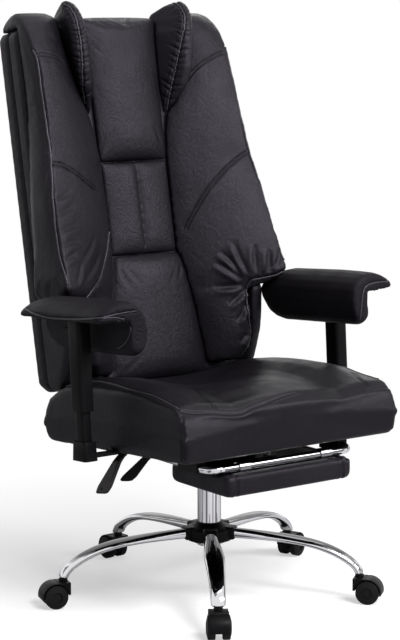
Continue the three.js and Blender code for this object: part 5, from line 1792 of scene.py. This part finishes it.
@dataclass(frozen=True)
class FootrestFrame:
    """The chrome tube that slides out under the seat, its guides and the pad's hinge."""

    body: str = "footrest_frame"
    half: float = 0.182
    front: float = -0.252
    rear: float = 0.03
    height: float = 0.33
    corner: float = 0.034
    radius: float = 0.0085

    def build(self) -> None:
        """Builds the tube and dresses its guides and hinge."""
        rear = self.rear + COLUMN.y
        places = [(-self.half, rear)]
        for side, start in ((-1, math.pi), (1, 1.5 * math.pi)):
            centre = (side * (self.half - self.corner), self.front + COLUMN.y + self.corner)
            for angle in np.linspace(start, start + math.pi / 2, 14):
                x, y = centre[0] + self.corner * math.cos(angle), centre[1] + self.corner * math.sin(angle)
                places.append((x, y))
        places.append((self.half, rear))
        line = np.array([(x, y, self.height) for x, y in places])
        fitted(tube("footrest_tube", line, self.radius, 7), self.body, Finish.CHROME, "footrest_frame")
        Finish.CHROME.dress_nodes("footrest_hinge")
        Finish.PAINT.dress_nodes(*(f"footrest_guide_{side.word}" for side in Side))


@dataclass(frozen=True)
class Armrest:
    """The hard parts of one armrest: foot, post, sleeve and trigger; the left arm is one notch higher."""

    side: Side
    spacing: float = 0.331
    forward: float = 0.03
    notch: float = 0.01
    post: tuple[float, float] = (0.011, 0.015)
    post_height: float = 0.212
    sleeve: tuple[float, float] = (0.016, 0.021)
    sleeve_low: float = 0.089
    sleeve_high: float = 0.271
    foot: tuple[float, float] = (0.0165, 0.026)
    foot_low: float = -0.011
    foot_high: float = 0.028

    def stood(self, form: Form) -> bpy.types.Object:
        """Finishes a form that was made round the post's axis, and puts it in place."""
        obj = form.done()
        obj.data.transform(tilted_with_seat(self.side.value * self.spacing, 0, self.forward))
        return obj

    def upright(self, name: str, half: Sequence[float], low: float, high: float, corner: float) -> Form:
        """A box round the post's axis with rounded upright edges."""
        form = Form.box(f"{name}_{self.side.word}", (-half[0], -half[1], low), (half[0], half[1], high))
        return form.pick("EDGE", lambda middle, toward: abs(toward.z) > 0.9).bevel(corner, 5)

    def build(self) -> None:
        """Builds the parts of this side."""
        word = self.side.word
        raised = self.notch if self.side is Side.LEFT else 0.0
        post = self.upright("arm_post_tube", self.post, 0.0, self.post_height, 0.0075)
        fitted(self.stood(post), "seat", Finish.NYLON, f"arm_post_{word}")
        fitted(self.stood(self.socket()), "seat", Finish.NYLON, f"arm_foot_{word}")
        low, high = self.sleeve_low + raised, self.sleeve_high + raised
        sleeve = self.upright("arm_sleeve_tube", self.sleeve, low, high, 0.0085)
        sleeve.pick("FACE", lambda middle, toward: toward.z < -0.9).inset(0.003).inset(0.0006, -0.012)
        sleeve.sharp_edges(STEEP_EDGE, 0.0008, 2)
        fitted(self.stood(sleeve), f"arm_{word}", Finish.NYLON, f"arm_sleeve_{word}")
        Finish.NYLON.dress_nodes(f"height_trigger_{word}")
        Finish.STEEL.dress_nodes(f"release_rod_{word}")
        Finish.PAINT.dress_nodes(f"arm_bracket_{word}", f"arm_top_plate_{word}")

    def socket(self) -> Form:
        """The socket at the foot of the post, wider at its base, with a lip round its top."""
        form = self.upright("arm_socket", self.foot, self.foot_low, self.foot_high, 0.008)
        form.pick("FACE", lambda middle, toward: toward.z > 0.9)
        form.resize((0.91, 0.905, 1), (0, 0, self.foot_high))
        form.inset(0.0022).inset(0.0006, -0.0015)
        form.pick("EDGE", self.is_foot_rim).bevel(0.001, 2)
        return form

    def is_foot_rim(self, middle: Vector, toward: Vector) -> bool:
        """Says whether an edge of the socket runs round its top or its base."""
        near = 0.0005
        ends = middle.z > self.foot_high - near or middle.z < self.foot_low + near
        return abs(toward.z) < 0.1 and ends


def tilted_with_seat(across: float, up: float, forward: float) -> Matrix:
    """The move that puts an upright form at a place of the seat, tilted as the seat is."""
    place = Matrix.Translation(SEAT.at(across, up, forward))
    return place @ Matrix.Rotation(-SEAT.tilt, 4, "X")


@dataclass(frozen=True)
class Mechanism:
    """The tilt mechanism and the gas lift, under the seat."""

    painted: tuple[str, ...] = ("mechanism_housing", "seat_plate", "lift_cylinder")
    bright: tuple[str, ...] = ("lift_rod", "retaining_clip", "recline_pin", "recline_spring")
    bolts: Points = ((-0.092, -0.035), (0.092, -0.035), (-0.092, 0.08), (0.092, 0.08))
    plate_bottom: float = -0.0036
    washer: tuple[float, float] = (0.0085, 0.0012)
    head: tuple[float, float] = (0.0062, 0.005)

    def build(self) -> None:
        """Dresses the solids and adds the bolts of the seat plate."""
        Finish.PAINT.dress_nodes(*self.painted)
        Finish.STEEL.dress_nodes(*self.bright)
        bolt = self.bolt()
        for number, (across, forward) in enumerate(self.bolts):
            move = tilted_with_seat(across, self.plate_bottom, forward)
            fitted(copied(bolt, f"plate_bolt_{number + 1}", move), "seat", Finish.STEEL)
        bpy.data.objects.remove(bolt)

    def bolt(self) -> bpy.types.Object:
        """A hexagonal bolt head with its washer, hanging down from the origin."""
        (washer_radius, washer_height), (head_radius, head_height) = self.washer, self.head
        seat = Vector((0, 0, -washer_height))
        washer = Form.rod("washer", Vector((0, 0, 0)), seat, washer_radius, 32)
        washer.sharp_edges(STEEP_EDGE, 0.0003, 2).done(35)
        head = Form.rod("head", seat, seat - Vector((0, 0, head_height)), head_radius, 6)
        head.sharp_edges(math.radians(50), 0.0005, 2).done(35)
        return joined("plate_bolt", [washer.obj, head.obj])


@dataclass(frozen=True)
class Lamp:
    """One area lamp: its place, what it points at, its size and its power."""

    name: str
    place: tuple[float, float, float]
    target: tuple[float, float, float]
    size: tuple[float, float]
    power: float

    def build(self) -> None:
        """Adds the lamp."""
        data = bpy.data.lights.new(self.name, "AREA")
        data.shape = "RECTANGLE"
        data.size, data.size_y = self.size
        data.energy = self.power
        lamp = added(self.name, data)
        lamp.location = self.place
        aim = Vector(self.target) - Vector(self.place)
        lamp.rotation_euler = aim.to_track_quat("-Z", "Y").to_euler()


LAMPS = (
    Lamp("key", (-0.1, -2.8, 3.1), (0, 0, 0.8), (1.4, 1.1), 150.0),
    Lamp("fill", (2.3, -3.0, 2.4), (0, 0, 0.85), (1.2, 1.2), 105.0),
    Lamp("top", (0.0, 0.0, 3.4), (0, 0, 0.5), (1.6, 1.6), 16.0),
    Lamp("rim", (2.4, 2.2, 2.4), (0, 0, 0.6), (1.2, 1.2), 10.0),
)


@dataclass(frozen=True)
class Stage:
    """The pale floor, the white surround and the studio lamps."""

    radius: float = 7.0
    drop: float = 0.0006
    colour: Colour = (0.6, 0.59, 0.605)
    glow: float = 0.5
    fade_start: float = 0.3
    fade_end: float = 1.15
    ambient: float = 0.16

    def build(self) -> None:
        """Builds the floor, the world and the lamps."""
        self.floor()
        self.surround()
        for lamp in LAMPS:
            lamp.build()
        bpy.context.scene.view_settings.view_transform = "Standard"

    def floor(self) -> None:
        """Adds a round floor that keeps the chair's shadow and fades to white around it."""
        place = (0, 0, -self.drop)
        bpy.ops.mesh.primitive_circle_add(vertices=96, radius=self.radius, fill_type="NGON", location=place)
        floor = bpy.context.object
        floor.name = "studio_floor"
        bpy.ops.object.transform_apply(location=True)
        material = bpy.data.materials.new("studio_floor")
        nodes = empty_nodes(material)
        lit = nodes.add("ShaderNodeBsdfDiffuse", Color=(*self.colour, 1)).outputs[0]
        glow = nodes.add("ShaderNodeEmission", Color=WHITE, Strength=self.glow).outputs[0]
        white = nodes.add("ShaderNodeEmission", Color=WHITE, Strength=1.0).outputs[0]
        centre = nodes.add("ShaderNodeTexCoord").outputs["Object"]
        reach = nodes.add("ShaderNodeVectorMath", operation="LENGTH", i0=centre).outputs["Value"]
        far = nodes.ranged(reach, self.fade_start, self.fade_end, 0.0, 1.0)
        camera = nodes.add("ShaderNodeLightPath").outputs["Is Camera Ray"]
        near = nodes.add("ShaderNodeAddShader", i0=lit, i1=glow).outputs[0]
        shown = nodes.add("ShaderNodeMixShader", i0=far, i1=near, i2=white).outputs[0]
        mixed = nodes.add("ShaderNodeMixShader", i0=camera, i1=lit, i2=shown).outputs[0]
        nodes.add("ShaderNodeOutputMaterial", Surface=mixed)
        floor.data.materials.append(material)

    def surround(self) -> None:
        """Sets a white backdrop, and a dimmer white for lighting."""
        world = bpy.data.worlds.new("studio")
        bpy.context.scene.world = world
        nodes = empty_nodes(world)
        strength = self.ambient
        path = nodes.add("ShaderNodeLightPath").outputs
        for key in ("Is Camera Ray", "Is Transmission Ray", "Is Glossy Ray"):
            strength = nodes.math("MAXIMUM", path[key], strength)
        back = nodes.add("ShaderNodeBackground", Color=WHITE, Strength=strength)
        nodes.add("ShaderNodeOutputWorld", Surface=back.outputs[0])


def main() -> None:
    """Builds the chair's looks, sub-assembly by sub-assembly."""
    logging.basicConfig(level=logging.INFO, format="%(name)s: %(message)s")
    CAMERA.build()
    Stage().build()
    StarBase().build()
    Caster().build()
    Mechanism().build()
    for lever in LEVERS:
        Lever(lever).build()
    FootrestFrame().build()
    FootrestPad().build()
    for side in Side:
        Armrest(side).build()
    for arm in ARMS:
        ArmPad(arm).build()
    Seat().build()
    Back().build()


if __name__ == "__main__":
    main()
